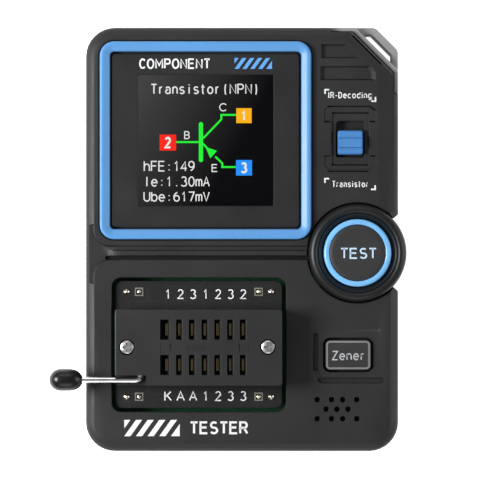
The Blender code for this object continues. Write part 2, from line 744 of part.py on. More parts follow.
def make_socket_board():
    """The black board in the bay, drilled for pins, contacts and screws."""
    board = plate("socket_board", [rounded(SOCKET_BOARD, 1.4)], *SOCKET_BOARD_Z)
    low, high = SOCKET_BOARD_Z[0] - 1, SOCKET_BOARD_Z[1] + 1
    pins = [spot for _, round_pin, square_pin in header_places() for spot in (round_pin, square_pin)]
    tails = [(x - 0.5, x + 0.5, y - 0.6, y + 0.6, low, high) for x, y in contact_spots()]
    cut(
        board,
        rods("pin_holes", pins, PIN_HOLE, low, high, guide=True, segments=8),
        rods("board_screw_holes", ZIF_SCREWS, ZIF_SCREW_HOLE, low, high, guide=True, segments=12),
        blocks("tail_holes", tails, guide=True),
    )
    finish(board, (0.02, 0.02, 0.022), 0.35)


def make_headers():
    """Two-pin headers that carry the socket board: a plastic bar, two pins and two solder pads."""
    for name, round_pin, square_pin in header_places():
        middle_x = (round_pin[0] + square_pin[0]) / 2
        half_x, half_y = HEADER_HALF
        x, y = square_pin
        bar = (middle_x - half_x, middle_x + half_x, y - half_y, y + half_y, PART_BASE, HEADER_TOP)
        bar = blocks(name, [bar])
        pins = rods(name + "_pins", [round_pin, square_pin], PIN_RADIUS, HEADER_TOP - 0.4, PIN_TOP,
                    guide=True, segments=8)
        round_pad = rods(name + "_round_pad", [round_pin], ROUND_PAD, PAD_Z[0], PAD_Z[1] + 0.05, guide=True,
                         segments=12)
        pad = (x - SQUARE_PAD, x + SQUARE_PAD, y - SQUARE_PAD, y + SQUARE_PAD, *PAD_Z)
        square_pad = blocks(name + "_square_pad", [pad], guide=True)
        join(bar, pins, round_pad, square_pad)
        finish(bar, (0.75, 0.68, 0.45), 0.3, 1.0)


def make_zif_base():
    """The socket's lower block, with a well for each contact."""
    low, high = ZIF_BASE_Z
    base = plate("zif_base", [rounded(ZIF_BOX, ZIF_CORNER, steps=2)], low, high)
    wells = [(x - 0.55, x + 0.55, y - 1.5, y + 1.5, low - 1, high + 1) for x, y in contact_spots()]
    cut(
        base,
        blocks("contact_wells", wells, guide=True),
        rods("base_screw_holes", ZIF_SCREWS, ZIF_SCREW_HOLE, low - 1, high + 1, guide=True, segments=12),
    )
    finish(base, (0.03, 0.03, 0.032), 0.5)


def make_zif_cover():
    """The socket's cover: one block with a notch for the lever, sunk screws, a shaft channel and slots."""
    under = ZIF_BASE_Z[1] + GAP
    above = ZIF_TOP_Z + 1
    cover = plate("zif_cover", [rounded(ZIF_BOX, ZIF_CORNER, steps=2)], under, ZIF_TOP_Z)
    soften(cover, 0.3, segments=1)
    notch_right, notch_high, notch_floor = LEVER_NOTCH
    notch = (ZIF_BOX[0] - 1, notch_right, ZIF_BOX[2] - 1, notch_high, notch_floor, above)
    half_x, half_y = SLOT_WIDTH / 2, SLOT_LENGTH / 2
    slots = [
        (x - half_x, x + half_x, y - half_y, y + half_y, SLIDER_ROOM_TOP - GAP, above)
        for x, y in contact_spots()
    ]
    cut(
        cover,
        blocks("lever_notch", [notch], guide=True),
        blocks("slider_room", [(*SLIDER_ROOM, under - 1, SLIDER_ROOM_TOP)], guide=True),
        blocks("slider_room_end", [(*SLIDER_ROOM_END, under - 1, SLIDER_ROOM_TOP)], guide=True),
        blocks("shaft_channel", [(*SHAFT_CHANNEL, under - 1, SHAFT_CHANNEL_TOP)], guide=True),
        blocks("contact_slots", slots, guide=True),
        rods("cover_screw_holes", ZIF_SCREWS, ZIF_SCREW_HOLE, under - 1, above, guide=True, segments=12),
        rods("cover_screw_seats", ZIF_SCREWS, ZIF_SCREW_SEAT, ZIF_SCREW_Z[1] - GAP, above, guide=True),
    )
    finish(cover, (0.03, 0.03, 0.032), 0.5)


def make_zif_slider():
    """The plate that the shaft pushes along the contacts, with a tab for the shaft."""
    low, high = ZIF_BASE_Z[1] + 2 * GAP, SLIDER_TOP
    slider = blocks("zif_slider", [(*SLIDER, low, high)])
    tab = blocks("slider_tab", [(*SLIDER_TAB, high - 0.2, SLIDER_TAB_TOP)], guide=True)
    windows = [
        (x - 0.55 - SLIDER_TRAVEL, x + 0.55, y - 1.6, y + 1.6, low - 1, high + 1)
        for x, y in contact_spots()
    ]
    join(slider, tab)
    cut(slider, blocks("slider_windows", windows, guide=True))
    finish(slider, (0.03, 0.03, 0.032), 0.5)
    hang(pivot("slider_axis", -9.0, -21.5, low), slider)


def make_zif_screws():
    """Two cross-head screws, sunk in the cover's ends."""
    end, seat, top = ZIF_SCREW_Z
    profile = [
        (0.0, top), (ZIF_SCREW_HEAD - 0.4, top - 0.1), (ZIF_SCREW_HEAD, seat + 0.3), (ZIF_SCREW_HEAD, seat),
        (ZIF_SCREW_SHANK, seat), (ZIF_SCREW_SHANK, end + 0.4), (0.0, end),
    ]
    for side, spot in zip(("left", "right"), ZIF_SCREWS):
        screw = turned(f"zif_screw_{side}", profile, spot, steps=16)
        cut(screw, *cross_cutters(f"zif_cross_{side}", spot, 0.85, 0.17, top - 0.5, top + 1))
        finish(screw, (0.7, 0.7, 0.7), 0.3, 1.0)


def make_contacts():
    """Fourteen flat contacts: a wide leaf above and a narrow tail through the board."""
    half_thickness, half_width = CONTACT_HALF
    low, shoulder, high = CONTACT_Z
    for number, (x, y) in enumerate(contact_spots(), 1):
        outline = [
            (y - CONTACT_TAIL, low), (y + CONTACT_TAIL, low), (y + CONTACT_TAIL, shoulder),
            (y + half_width, shoulder), (y + half_width, high), (y - half_width, high),
            (y - half_width, shoulder), (y - CONTACT_TAIL, shoulder),
        ]
        contact = plate(f"zif_contact_{number}", [outline], x - half_thickness, x + half_thickness, plane="YZ")
        finish(contact, (0.8, 0.6, 0.25), 0.3, 1.0)


def make_lever():
    """The steel lever: a rod that bends into the socket as its shaft, and its round-ended knob."""
    bend_x = LEVER_AXIS_X - LEVER_BEND
    corner = arc(bend_x, LEVER_Y + LEVER_BEND, LEVER_BEND, -90, 0, 6)
    route = [(ROD_START, LEVER_Y)] + corner + [(LEVER_AXIS_X, SHAFT_END)]
    curve = bpy.data.curves.new("zif_lever", "CURVE")
    curve.dimensions = "3D"
    curve.bevel_depth = LEVER_RADIUS * MM
    curve.bevel_resolution = 2
    curve.use_fill_caps = True
    spline = curve.splines.new("POLY")
    spline.points.add(len(route) - 1)
    for point, (x, y) in zip(spline.points, route):
        point.co = (x * MM, y * MM, LEVER_AXIS_Z * MM, 1.0)
    lever = bpy.data.objects.new("zif_lever", curve)
    bpy.data.collections["component_tester"].objects.link(lever)
    finish(lever, (0.7, 0.7, 0.7), 0.25, 1.0)
    hang(pivot("lever_axis", LEVER_AXIS_X, LEVER_Y, LEVER_AXIS_Z), lever, make_lever_knob())


def make_lever_knob():
    """The lever's knob: a turned round-ended barrel with a blind hole for the rod."""
    outer, inner = KNOB_SPAN
    length = inner - outer
    far_end = arc(0.0, length - KNOB_RADIUS, KNOB_RADIUS, 90, 0, 6)
    near_end = arc(0.0, KNOB_RADIUS, KNOB_RADIUS, 0, -60, 5)
    bore = [(KNOB_BORE, near_end[-1][1] - 0.1), (KNOB_BORE, KNOB_BORE_DEPTH), (0.0, KNOB_BORE_DEPTH)]
    profile = far_end + near_end + bore
    knob = turned("zif_lever_knob", profile, (inner, LEVER_Y), steps=20)
    knob.location.z = LEVER_AXIS_Z * MM
    knob.rotation_euler.y = -math.pi / 2
    finish(knob, (0.02, 0.02, 0.02), 0.2)
    return knob


def make_inner_parts():
    """Battery, buzzer, charging port, infrared receiver and its window."""
    battery = soften(plate("battery", [rounded(BATTERY, 1.5, steps=3)], *BATTERY_Z), 1.0, bottom=True)
    finish(battery, (0.6, 0.6, 0.62), 0.35, 0.6)
    profile = [
        (0.0, 16.0), (BUZZER_MOUTH, 16.0), (BUZZER_MOUTH, BUZZER_TOP), (BUZZER_RADIUS - 0.2, BUZZER_TOP),
        (BUZZER_RADIUS, BUZZER_TOP - 0.2), (BUZZER_RADIUS, PART_BASE), (0.0, PART_BASE),
    ]
    finish(turned("buzzer", profile, BUZZER_CENTRE), (0.02, 0.02, 0.02), 0.5)
    make_usb_port()
    receiver = blocks("ir_receiver", [(*RECEIVER, PART_BASE, 17.4)])
    dome_x, dome_y, dome_radius = RECEIVER_DOME
    dome_profile = arc(0.0, 16.9, dome_radius, 90, 0, 5) + [(dome_radius, 15.0), (0.0, 15.0)]
    join(receiver, turned("ir_dome", dome_profile, (dome_x, dome_y), steps=16, guide=True))
    finish(receiver, (0.02, 0.02, 0.03), 0.3)
    window = plate("ir_window", [window_outline(GAP)], *WINDOW_Z)
    finish(window, (0.02, 0.01, 0.015), 0.15)


def make_usb_port():
    """The charging port: a metal mouth with a contact tongue, on the board's lower edge."""
    mouth_y, back_y = PORT_Y
    limits = (-PORT_HALF_WIDTH, PORT_HALF_WIDTH, *PORT_Z)
    port = plate("usb_port", [rounded(limits, 1.2, steps=3)], mouth_y, back_y, plane="XZ")
    room = rounded(limits, 1.2, PORT_WALL, steps=3)
    cut(port, plate("usb_room", [room], mouth_y - 1, back_y - 1.2, guide=True, plane="XZ"))
    left, right, tongue_y, low, high = PORT_TONGUE
    join(port, blocks("usb_tongue", [(left, right, tongue_y, back_y - 1, low, high)], guide=True))
    finish(port, (0.6, 0.6, 0.6), 0.3, 1.0)


def main():
    """Build every piece."""
    clear_scene()
    new_collection("component_tester")
    new_collection("cutters")
    step = guard_step_cutter()
    notch = side_notch_cutter()
    tongue_room = [(2.3, -2.0), (2.3, 3.0), (-2.3, 3.0), (-2.3, -2.0)]
    tongue_notch = corner_plate(
        "tongue_notch", tongue_room, TONGUE_HEIGHT[0] - GAP, TONGUE_HEIGHT[1] + GAP, guide=True
    )
    make_rear_shell(step, notch, tongue_notch)
    make_front_shell(step, notch, tongue_notch)
    make_corner_guard()
    make_housing_screws()
    make_screen()
    make_slide_switch()
    make_test_button()
    make_zener_button()
    make_main_board()
    make_socket_board()
    make_headers()
    make_zif_base()
    make_zif_cover()
    make_zif_slider()
    make_zif_screws()
    make_contacts()
    make_lever()
    make_inner_parts()


main()
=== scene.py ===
"""Looks for the component tester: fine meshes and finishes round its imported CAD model.

Lengths in the code are millimetres unless a name says otherwise; the shape helpers turn them
into metres. +Z points out of the face, +Y to the screen end and +X to the TEST button's side.
"""

import json
import math

import bmesh
import bpy
from bpy.props import FloatProperty, FloatVectorProperty, PointerProperty
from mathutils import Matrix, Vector


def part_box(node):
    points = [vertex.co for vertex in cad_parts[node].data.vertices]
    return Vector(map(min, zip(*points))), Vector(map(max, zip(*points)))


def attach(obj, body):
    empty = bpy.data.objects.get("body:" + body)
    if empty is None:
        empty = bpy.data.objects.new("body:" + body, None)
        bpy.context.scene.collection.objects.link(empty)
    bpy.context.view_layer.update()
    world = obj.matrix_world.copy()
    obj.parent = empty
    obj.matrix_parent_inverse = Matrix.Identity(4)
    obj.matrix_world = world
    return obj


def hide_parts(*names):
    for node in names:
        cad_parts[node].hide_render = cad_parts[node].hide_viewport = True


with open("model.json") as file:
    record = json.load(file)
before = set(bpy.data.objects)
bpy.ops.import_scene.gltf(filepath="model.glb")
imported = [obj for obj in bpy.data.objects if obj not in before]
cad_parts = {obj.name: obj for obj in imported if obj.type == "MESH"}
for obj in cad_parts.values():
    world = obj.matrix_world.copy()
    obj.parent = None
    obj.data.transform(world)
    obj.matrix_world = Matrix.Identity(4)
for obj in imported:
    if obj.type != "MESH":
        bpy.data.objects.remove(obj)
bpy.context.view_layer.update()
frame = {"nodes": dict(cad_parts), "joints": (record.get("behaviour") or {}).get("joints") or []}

bl_info = {
    "name": "Component tester",
    "version": (1, 0, 0),
    "blender": (4, 5, 0),
    "location": "3D View > Sidebar > Tester",
    "description": "Builds the detailed pieces and finishes of a component tester",
    "category": "Object",
}

MM = 0.001
ARC_STEPS = 8
SHARP_ANGLE = math.radians(34)
PRINT_LIFT = 0.02
DOT_PITCH = 0.21
ROOT_2 = math.sqrt(2)


def limits(node):
    """A CAD node's box in millimetres: x0, x1, y0, y1, z0, z1."""
    low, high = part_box(node)
    return tuple(value / MM for pair in zip(low, high) for value in pair)


SHELL = limits("front_shell")
REAR = limits("rear_shell")
GUARD = limits("corner_guard")
FRAME = limits("screen_frame")
BEZEL = limits("screen_bezel")
LENS = limits("screen_lens")
DISPLAY = limits("display_module")
KNOB = limits("switch_knob")
COLLAR = limits("test_button_collar")
CAP = limits("test_button_cap")
RING = limits("test_button_ring")
PUSH = limits("zener_button_cap")
BOARD = limits("socket_board")
BASE = limits("zif_base")
COVER = limits("zif_cover")
LEVER = limits("zif_lever")
LEVER_KNOB = limits("zif_lever_knob")
PORT = limits("usb_port")
IR_WINDOW = limits("ir_window")
FACE = SHELL[5]
BODY_X = SHELL[1]
BODY_Y = SHELL[3]
COLLAR_X = (COLLAR[0] + COLLAR[1]) / 2
COLLAR_Y = (COLLAR[2] + COLLAR[3]) / 2
PUSH_X = (PUSH[0] + PUSH[1]) / 2
PUSH_Y = (PUSH[2] + PUSH[3]) / 2
JOINTS = {joint["name"]: joint for joint in frame["joints"]}
LEVER_AXIS = Vector(JOINTS["lever_swing"]["pos_m"]) / MM


# ---- outlines


def turn(direction, angle):
    """A flat direction turned by an angle."""
    c, s = math.cos(angle), math.sin(angle)
    return Vector((direction.x * c - direction.y * s, direction.x * s + direction.y * c))


def outline(corners, inset=0.0, steps=ARC_STEPS):
    """Points round the corners (x, y, radius), anticlockwise, drawn in by inset.

    Every inset gives the same number of points, so outlines at several insets can be lofted.
    """
    area = sum(a[0] * b[1] - b[0] * a[1] for a, b in zip(corners, corners[1:] + corners[:1]))
    corners = list(corners) if area > 0 else list(corners)[::-1]
    points = []
    for i, (x, y, radius) in enumerate(corners):
        here = Vector((x, y))
        before = (here - Vector(corners[i - 1][:2])).normalized()
        after = (Vector(corners[(i + 1) % len(corners)][:2]) - here).normalized()
        normal_in, normal_out = turn(before, math.pi / 2), turn(after, math.pi / 2)
        bend = math.atan2(normal_in.cross(normal_out), normal_in.dot(normal_out))
        reach = (normal_in + normal_out) / (1.0 + normal_in.dot(normal_out))
        side = 1.0 if bend >= 0 else -1.0
        arc_radius = max(radius - side * inset, 0.02)
        centre = here + reach * inset + side * reach * arc_radius
        for k in range(steps + 1):
            points.append(centre - side * turn(normal_in, bend * k / steps) * arc_radius)
    return points


def oblong(x0, x1, y0, y1):
    """Points of a plain rectangle, anticlockwise."""
    return [(x0, y0), (x1, y0), (x1, y1), (x0, y1)]


def rounded(x0, x1, y0, y1, radius):
    """Corners of a rounded rectangle."""
    return [(x, y, radius) for x, y in oblong(x0, x1, y0, y1)]


def grown(box, gap):
    """A box's four sides in plan, moved out by a gap."""
    return box[0] - gap, box[1] + gap, box[2] - gap, box[3] + gap


def circle(steps):
    """Points of a circle of radius 1."""
    angles = [2 * math.pi * k / steps for k in range(steps)]
    return [(math.cos(a), math.sin(a)) for a in angles]


def at_height(points, z):
    """Flat points lifted to a height."""
    return [(p[0], p[1], z) for p in points]


def levels(corners, profile, steps=ARC_STEPS):
    """Loops of one outline for a profile of (inset, height) pairs, bottom to top."""
    return [at_height(outline(corners, inset, steps), z) for inset, z in profile]


def soft_edge(inset, top, radius, steps=4):
    """Profile points of a quarter-round edge that ends flat, with a narrow flat rim."""
    points = []
    for k in range(steps + 1):
        a = math.radians(90 * k / steps)
        points.append((inset + radius * (1 - math.cos(a)), top - radius * (1 - math.sin(a))))
    return points + [(inset + radius + 0.05, top)]


# ---- meshes


def shade(mesh):
    """Smooth the curved stretches and keep real edges sharp."""
    mesh.shade_smooth()
    mesh.set_sharp_from_angle(angle=SHARP_ANGLE)


def new_object(name, data):
    """An object in the scene for a mesh, a lamp or a camera."""
    obj = bpy.data.objects.new(name, data)
    bpy.context.scene.collection.objects.link(obj)
    return obj


def keep(shape, name, outwards=True):
    """Turn a bmesh into a linked object."""
    bmesh.ops.remove_doubles(shape, verts=shape.verts, dist=1e-8)
    if outwards:
        bmesh.ops.recalc_face_normals(shape, faces=shape.faces)
    mesh = bpy.data.meshes.new(name)
    shape.to_mesh(mesh)
    shape.free()
    shade(mesh)
    return new_object(name, mesh)


def loft(name, loops, ring=False):
    """A closed skin through loops of points; a ring joins its last loop to its first."""
    shape = bmesh.new()
    rows = [[shape.verts.new(Vector(p) * MM) for p in loop] for loop in loops]
    count = len(rows[0])
    for lower, upper in zip(rows, rows[1:] + rows[:1] if ring else rows[1:]):
        for i in range(count):
            j = (i + 1) % count
            shape.faces.new((lower[i], lower[j], upper[j], upper[i]))
    if not ring:
        shape.faces.new(rows[0][::-1])
        shape.faces.new(rows[-1])
    return keep(shape, name)


def turned(name, profile, x, y, steps=64, ring=False):
    """A profile of (radius, height) turned about an upright axis."""
    loops = [[(x + radius * u, y + radius * v, z) for u, v in circle(steps)] for radius, z in profile]
    return loft(name, loops, ring)


def slab(name, corners, z0, z1, edge=0.0, steps=ARC_STEPS):
    """A plate with an outline, and a soft upper edge if asked for."""
    profile = [(0.0, z0)] + (soft_edge(0.0, z1, edge) if edge else [(0.0, z1)])
    return loft(name, levels(corners, profile, steps))


def cutter(name, corners, z0, lip=0.12, draft=0.0, top=None, steps=ARC_STEPS):
    """A cutting body from z0 up through the face, with sloped walls and a broken upper edge."""
    top = FACE if top is None else top
    shoulder = top - min(lip, (top - z0) * 0.6)
    profile = [(draft, z0), (0.0, shoulder), (-lip, top + 0.001), (-lip, top + 3.0)]
    return loft(name, levels(corners, profile, steps))


def prism(name, points, z0, z1):
    """A straight-walled body on plain flat points."""
    return loft(name, [at_height(points, z0), at_height(points, z1)])


def straight(name, corners, z0, z1, steps=ARC_STEPS):
    """A straight-walled body on rounded corners."""
    return loft(name, levels(corners, [(0.0, z0), (0.0, z1)], steps))


def wedge(name, lower, upper, z0, z1):
    """A body between two unlike loops with the same number of points."""
    rise = [(u[0] + (u[0] - l[0]) * 0.02, u[1] + (u[1] - l[1]) * 0.02) for l, u in zip(lower, upper)]
    return loft(name, [at_height(lower, z0), at_height(upper, z1), at_height(rise, z1 + 2.0)])


def merge(name, pieces):
    """One object from several that don't touch."""
    shape = bmesh.new()
    for piece in pieces:
        shape.from_mesh(piece.data)
        bpy.data.objects.remove(piece)
    return keep(shape, name, outwards=False)


def bake(obj):
    """The object with its modifiers worked in, as a plain mesh."""
    bpy.context.view_layer.update()
    mesh = bpy.data.meshes.new_from_object(obj.evaluated_get(bpy.context.evaluated_depsgraph_get()))
    label = obj.name
    plain = new_object(label, mesh)
    bpy.data.objects.remove(obj)
    plain.name = label
    return plain


def carve(obj, cutters, operation="DIFFERENCE"):
    """Cut bodies out of a piece, or join them on, and use them up."""
    for body in cutters:
        modifier = obj.modifiers.new(body.name, "BOOLEAN")
        modifier.operation = operation
        modifier.solver = "EXACT"
        modifier.object = body
    plain = bake(obj)
    for body in cutters:
        bpy.data.objects.remove(body)
    tidy(plain)
    return plain


def tidy(obj):
    """Weld what a cut leaves, drop slivers and mark the sharp edges."""
    shape = bmesh.new()
    shape.from_mesh(obj.data)
    bmesh.ops.remove_doubles(shape, verts=shape.verts, dist=2e-7)
    bmesh.ops.dissolve_degenerate(shape, edges=shape.edges, dist=1e-7)
    shape.to_mesh(obj.data)
    shape.free()
    shade(obj.data)


def tube(name, route, radius, steps=24):
    """A round rod along a route of points, with flat ends."""
    loops = []
    points = [Vector(p) for p in route]
    up = Vector((0.0, 0.0, 1.0))
    for i, point in enumerate(points):
        ahead = points[min(i + 1, len(points) - 1)] - points[max(i - 1, 0)]
        side = ahead.normalized().cross(up).normalized()
        loops.append([point + (side * u + up * v) * radius for u, v in circle(steps)])
    return loft(name, loops)


def bow(x, y, rx, ry, start, end, steps=8):
    """Points of a letter's curve, with its angles in degrees."""
    angles = [math.radians(start + (end - start) * i / steps) for i in range(steps + 1)]
    return [(x + rx * math.cos(a), y + ry * math.sin(a)) for a in angles]


BOWL = bow(0.5, 0.36, 0.47, 0.36, 0, 360, 14)
STROKES = {
    "A": ([(0, 0), (0.5, 1), (1, 0)], [(0.19, 0.34), (0.81, 0.34)]),
    "B": ([(0, 0.52), (0.58, 0.52)] + bow(0.58, 0.26, 0.36, 0.26, 90, -90) + [(0, 0), (0, 1)]
          + [(0.52, 1)] + bow(0.52, 0.76, 0.36, 0.24, 90, -90),),
    "C": (bow(0.54, 0.5, 0.52, 0.5, 42, 318, 14),),
    "D": ([(0.4, 0), (0, 0), (0, 1), (0.4, 1)] + bow(0.4, 0.5, 0.58, 0.5, 90, -90, 10),),
    "E": ([(0.95, 1), (0, 1), (0, 0), (0.97, 0)], [(0, 0.53), (0.86, 0.53)]),
    "F": ([(0.95, 1), (0, 1), (0, 0)], [(0, 0.53), (0.82, 0.53)]),
    "I": ([(0.5, 0), (0.5, 1)],),
    "K": ([(0, 0), (0, 1)], [(0.94, 1), (0.02, 0.36)], [(0.32, 0.58), (1, 0)]),
    "M": ([(0, 0), (0, 1), (0.5, 0.3), (1, 1), (1, 0)],),
    "N": ([(0, 0), (0, 1), (1, 0), (1, 1)],),
    "O": (bow(0.5, 0.5, 0.5, 0.5, 0, 360, 18),),
    "P": ([(0, 0), (0, 1), (0.6, 1)] + bow(0.6, 0.74, 0.36, 0.26, 90, -90) + [(0, 0.48)],),
    "R": ([(0, 0), (0, 1), (0.58, 1)] + bow(0.58, 0.75, 0.36, 0.25, 90, -90) + [(0, 0.5)],
          [(0.52, 0.5), (1, 0)]),
    "S": (bow(0.52, 0.745, 0.43, 0.255, 40, 235) + bow(0.5, 0.26, 0.47, 0.26, 62, -150),),
    "T": ([(0, 1), (1, 1)], [(0.5, 1), (0.5, 0)]),
    "U": ([(0, 1), (0, 0.32)] + bow(0.5, 0.32, 0.5, 0.32, 180, 360) + [(1, 1)],),
    "V": ([(0, 1), (0.5, 0), (1, 1)],),
    "Z": ([(0.03, 1), (0.97, 1), (0, 0), (1, 0)],),
    "a": (bow(0.48, 0.46, 0.4, 0.25, 155, 0) + [(0.88, 0)], bow(0.47, 0.21, 0.41, 0.21, 80, 350, 10)),
    "b": ([(0.04, 1), (0.04, 0)], BOWL),
    "c": (bow(0.52, 0.36, 0.49, 0.36, 45, 315, 10),),
    "d": ([(0.96, 1), (0.96, 0)], BOWL),
    "e": ([(0.04, 0.38)] + bow(0.5, 0.36, 0.46, 0.36, 3, 318, 12),),
    "g": ([(0.96, 0.72), (0.96, -0.06)] + bow(0.5, -0.06, 0.46, 0.22, 0, -150), BOWL),
    "h": ([(0.04, 1), (0.04, 0)], [(0.04, 0.42)] + bow(0.5, 0.42, 0.44, 0.3, 150, 0) + [(0.94, 0)]),
    "i": ([(0.5, 0.71), (0.5, 0)], [(0.5, 0.9), (0.5, 1)]),
    "m": ([(0, 0.72), (0, 0)], [(0, 0.48)] + bow(0.26, 0.5, 0.25, 0.22, 160, 0, 6) + [(0.51, 0)],
          [(0.51, 0.48)] + bow(0.76, 0.5, 0.24, 0.22, 160, 0, 6) + [(1, 0)]),
    "n": ([(0.04, 0.72), (0.04, 0)], [(0.04, 0.42)] + bow(0.5, 0.42, 0.44, 0.3, 150, 0) + [(0.94, 0)]),
    "o": (BOWL,),
    "r": ([(0.15, 0.72), (0.15, 0)], [(0.15, 0.4)] + bow(0.62, 0.36, 0.46, 0.35, 150, 70, 4)),
    "s": (bow(0.5, 0.535, 0.38, 0.185, 35, 235) + bow(0.48, 0.18, 0.4, 0.18, 60, -150),),
    "t": ([(0.36, 0.98), (0.36, 0.2)] + bow(0.6, 0.2, 0.24, 0.2, 180, 290, 4), [(0.02, 0.72), (0.84, 0.72)]),
    "0": (bow(0.5, 0.5, 0.46, 0.5, 0, 360, 16),),
    "1": ([(0.18, 0.74), (0.56, 1), (0.56, 0)],),
    "2": (bow(0.48, 0.72, 0.42, 0.28, 160, -25) + [(0.02, 0), (0.98, 0)],),
    "3": (bow(0.46, 0.76, 0.4, 0.24, 150, -75) + bow(0.46, 0.27, 0.48, 0.27, 80, -150, 10),),
    "4": ([(0.74, 0), (0.74, 1), (0, 0.28), (1, 0.28)],),
    "6": (bow(0.98, 0.44, 0.95, 0.56, 112, 178, 6) + bow(0.5, 0.31, 0.46, 0.31, 175, 535, 14),),
    "7": ([(0.03, 1), (0.97, 1), (0.36, 0)],),
    "9": (bow(0.02, 0.56, 0.95, 0.56, -68, -2, 6) + bow(0.5, 0.69, 0.46, 0.31, -5, 355, 14),),
    "(": (bow(0.95, 0.45, 0.5, 0.65, 122, 238, 6),),
    ")": (bow(0.05, 0.45, 0.5, 0.65, 58, -58, 6),),
    ":": ([(0.5, 0.06), (0.5, 0.16)], [(0.5, 0.56), (0.5, 0.66)]),
    ".": ([(0.5, 0.0), (0.5, 0.1)],),
    "-": ([(0.1, 0.4), (0.9, 0.4)],),
}
NARROW = {"I": 0.3, "i": 0.3, "1": 0.8, ":": 0.35, ".": 0.35, "-": 0.65, "r": 0.7, "t": 0.7, "(": 0.5,
          ")": 0.5, "M": 1.2, "m": 1.4, "O": 1.12, "A": 1.1, "n": 0.92}


def stroke(name, route, width, z, thickness=None):
    """A thin raised line of one width along a route of flat points."""
    points = [Vector(p) for p in route]
    ends = (z, z + (thickness or print_thickness()))
    sections = []
    for i, point in enumerate(points):
        before = point - points[max(i - 1, 0)]
        after = points[min(i + 1, len(points) - 1)] - point
        before = (before if before.length else after).normalized()
        after = (after if after.length else before).normalized()
        side = turn(before, math.pi / 2) + turn(after, math.pi / 2)
        side = side / max(1.0 + before.dot(after), 0.5) * width / 2
        near, far = point + side, point - side
        sections.append([(*near, ends[1]), (*far, ends[1]), (*far, ends[0]), (*near, ends[0])])
    return loft(name, sections)


def words(name, text, box, z, weight=0.3, gap=0.4, even=False, thickness=None):
    """Lettering in strokes of one weight, fitted to a box; even gives every letter the same room."""
    x0, x1, y0, y1 = box
    rooms = [1.0 if even else NARROW.get(letter, 1.0) for letter in text]
    unit = (x1 - x0 - weight) / (sum(rooms) + gap * (len(text) - 1))
    x, pieces = x0 + weight / 2, []
    for letter, room in zip(text, rooms):
        width = min(room, NARROW.get(letter, 1.0)) * unit
        left = x + (room * unit - width) / 2
        for route in STROKES[letter]:
            placed = [(left + u * width, y0 + weight / 2 + v * (y1 - y0 - weight)) for u, v in route]
            pieces.append(stroke(f"{name}_{len(pieces)}", placed, weight, z, thickness))
        x += (room + gap) * unit
    return merge(name, pieces)


# ---- repeated pieces


def new_tree(name, sockets):
    """A geometry node group with named inputs, and its output node."""
    tree = bpy.data.node_groups.new(name, "GeometryNodeTree")
    for label, kind in sockets:
        tree.interface.new_socket(label, in_out="INPUT", socket_type=kind)
    tree.interface.new_socket("Geometry", in_out="OUTPUT", socket_type="NodeSocketGeometry")
    source = tree.nodes.new("NodeGroupInput")
    target = tree.nodes.new("NodeGroupOutput")
    return tree, source, target


def link(tree, start, end):
    """Join two sockets."""
    tree.links.new(start, end)


def close_copies(tree, source, target, points):
    """Put the piece on every point, make the copies real and give them their finish."""
    piece = tree.nodes.new("GeometryNodeObjectInfo")
    piece.inputs["As Instance"].default_value = False
    copied = tree.nodes.new("GeometryNodeInstanceOnPoints")
    real = tree.nodes.new("GeometryNodeRealizeInstances")
    dressed = tree.nodes.new("GeometryNodeSetMaterial")
    link(tree, source.outputs["Piece"], piece.inputs["Object"])
    link(tree, points, copied.inputs["Points"])
    link(tree, piece.outputs["Geometry"], copied.inputs["Instance"])
    link(tree, copied.outputs["Instances"], real.inputs["Geometry"])
    link(tree, real.outputs["Geometry"], dressed.inputs["Geometry"])
    link(tree, source.outputs["Finish"], dressed.inputs["Material"])
    link(tree, dressed.outputs["Geometry"], target.inputs["Geometry"])


def row_tree():
    """Copies of a piece in a straight row: count and step."""
    tree, source, target = new_tree("Row of copies", [
        ("Geometry", "NodeSocketGeometry"), ("Piece", "NodeSocketObject"), ("Count", "NodeSocketInt"),
        ("Step", "NodeSocketVector"), ("Start", "NodeSocketVector"), ("Finish", "NodeSocketMaterial"),
    ])
    row = tree.nodes.new("GeometryNodeMeshLine")
    row.mode = "OFFSET"
    link(tree, source.outputs["Count"], row.inputs["Count"])
    link(tree, source.outputs["Start"], row.inputs["Start Location"])
    link(tree, source.outputs["Step"], row.inputs["Offset"])
    close_copies(tree, source, target, row.outputs["Mesh"])
    return tree


def spot_tree():
    """Copies of a piece on every vertex of the host mesh."""
    tree, source, target = new_tree("Copies on spots", [
        ("Geometry", "NodeSocketGeometry"), ("Piece", "NodeSocketObject"),
        ("Finish", "NodeSocketMaterial"),
    ])
    close_copies(tree, source, target, source.outputs["Geometry"])
    return tree


def tree_named(name, make):
    """The node group, made once."""
    return bpy.data.node_groups.get(name) or make()


def run_tree(host, tree, values):
    """Set a tree's inputs by their identifiers, work it in, and keep one plain mesh."""
    modifier = host.modifiers.new(tree.name, "NODES")
    modifier.node_group = tree
    for item in tree.interface.items_tree:
        if item.item_type == "SOCKET" and item.in_out == "INPUT" and item.name in values:
            modifier[item.identifier] = values[item.name]
    host.update_tag()
    return bake(host)


def empty_host(name, spots=((0.0, 0.0, 0.0),)):
    """A mesh of loose vertices for a tree to work on."""
    mesh = bpy.data.meshes.new(name)
    mesh.from_pydata([Vector(spot) * MM for spot in spots], [], [])
    return new_object(name, mesh)


def copies(host, tree, piece, finish, values):
    """Work in a tree of copies of a piece, which is used up."""
    values["Piece"] = piece
    if finish:
        values["Finish"] = finish
    made = run_tree(host, tree, values)
    bpy.data.objects.remove(piece)
    shade(made.data)
    return made


def in_row(name, piece, count, step, finish=None):
    """A row of copies of a piece, which is used up. The piece stands where the first copy goes."""
    values = {"Count": count, "Step": Vector(step) * MM, "Start": Vector((0, 0, 0))}
    return copies(empty_host(name), tree_named("Row of copies", row_tree), piece, finish, values)


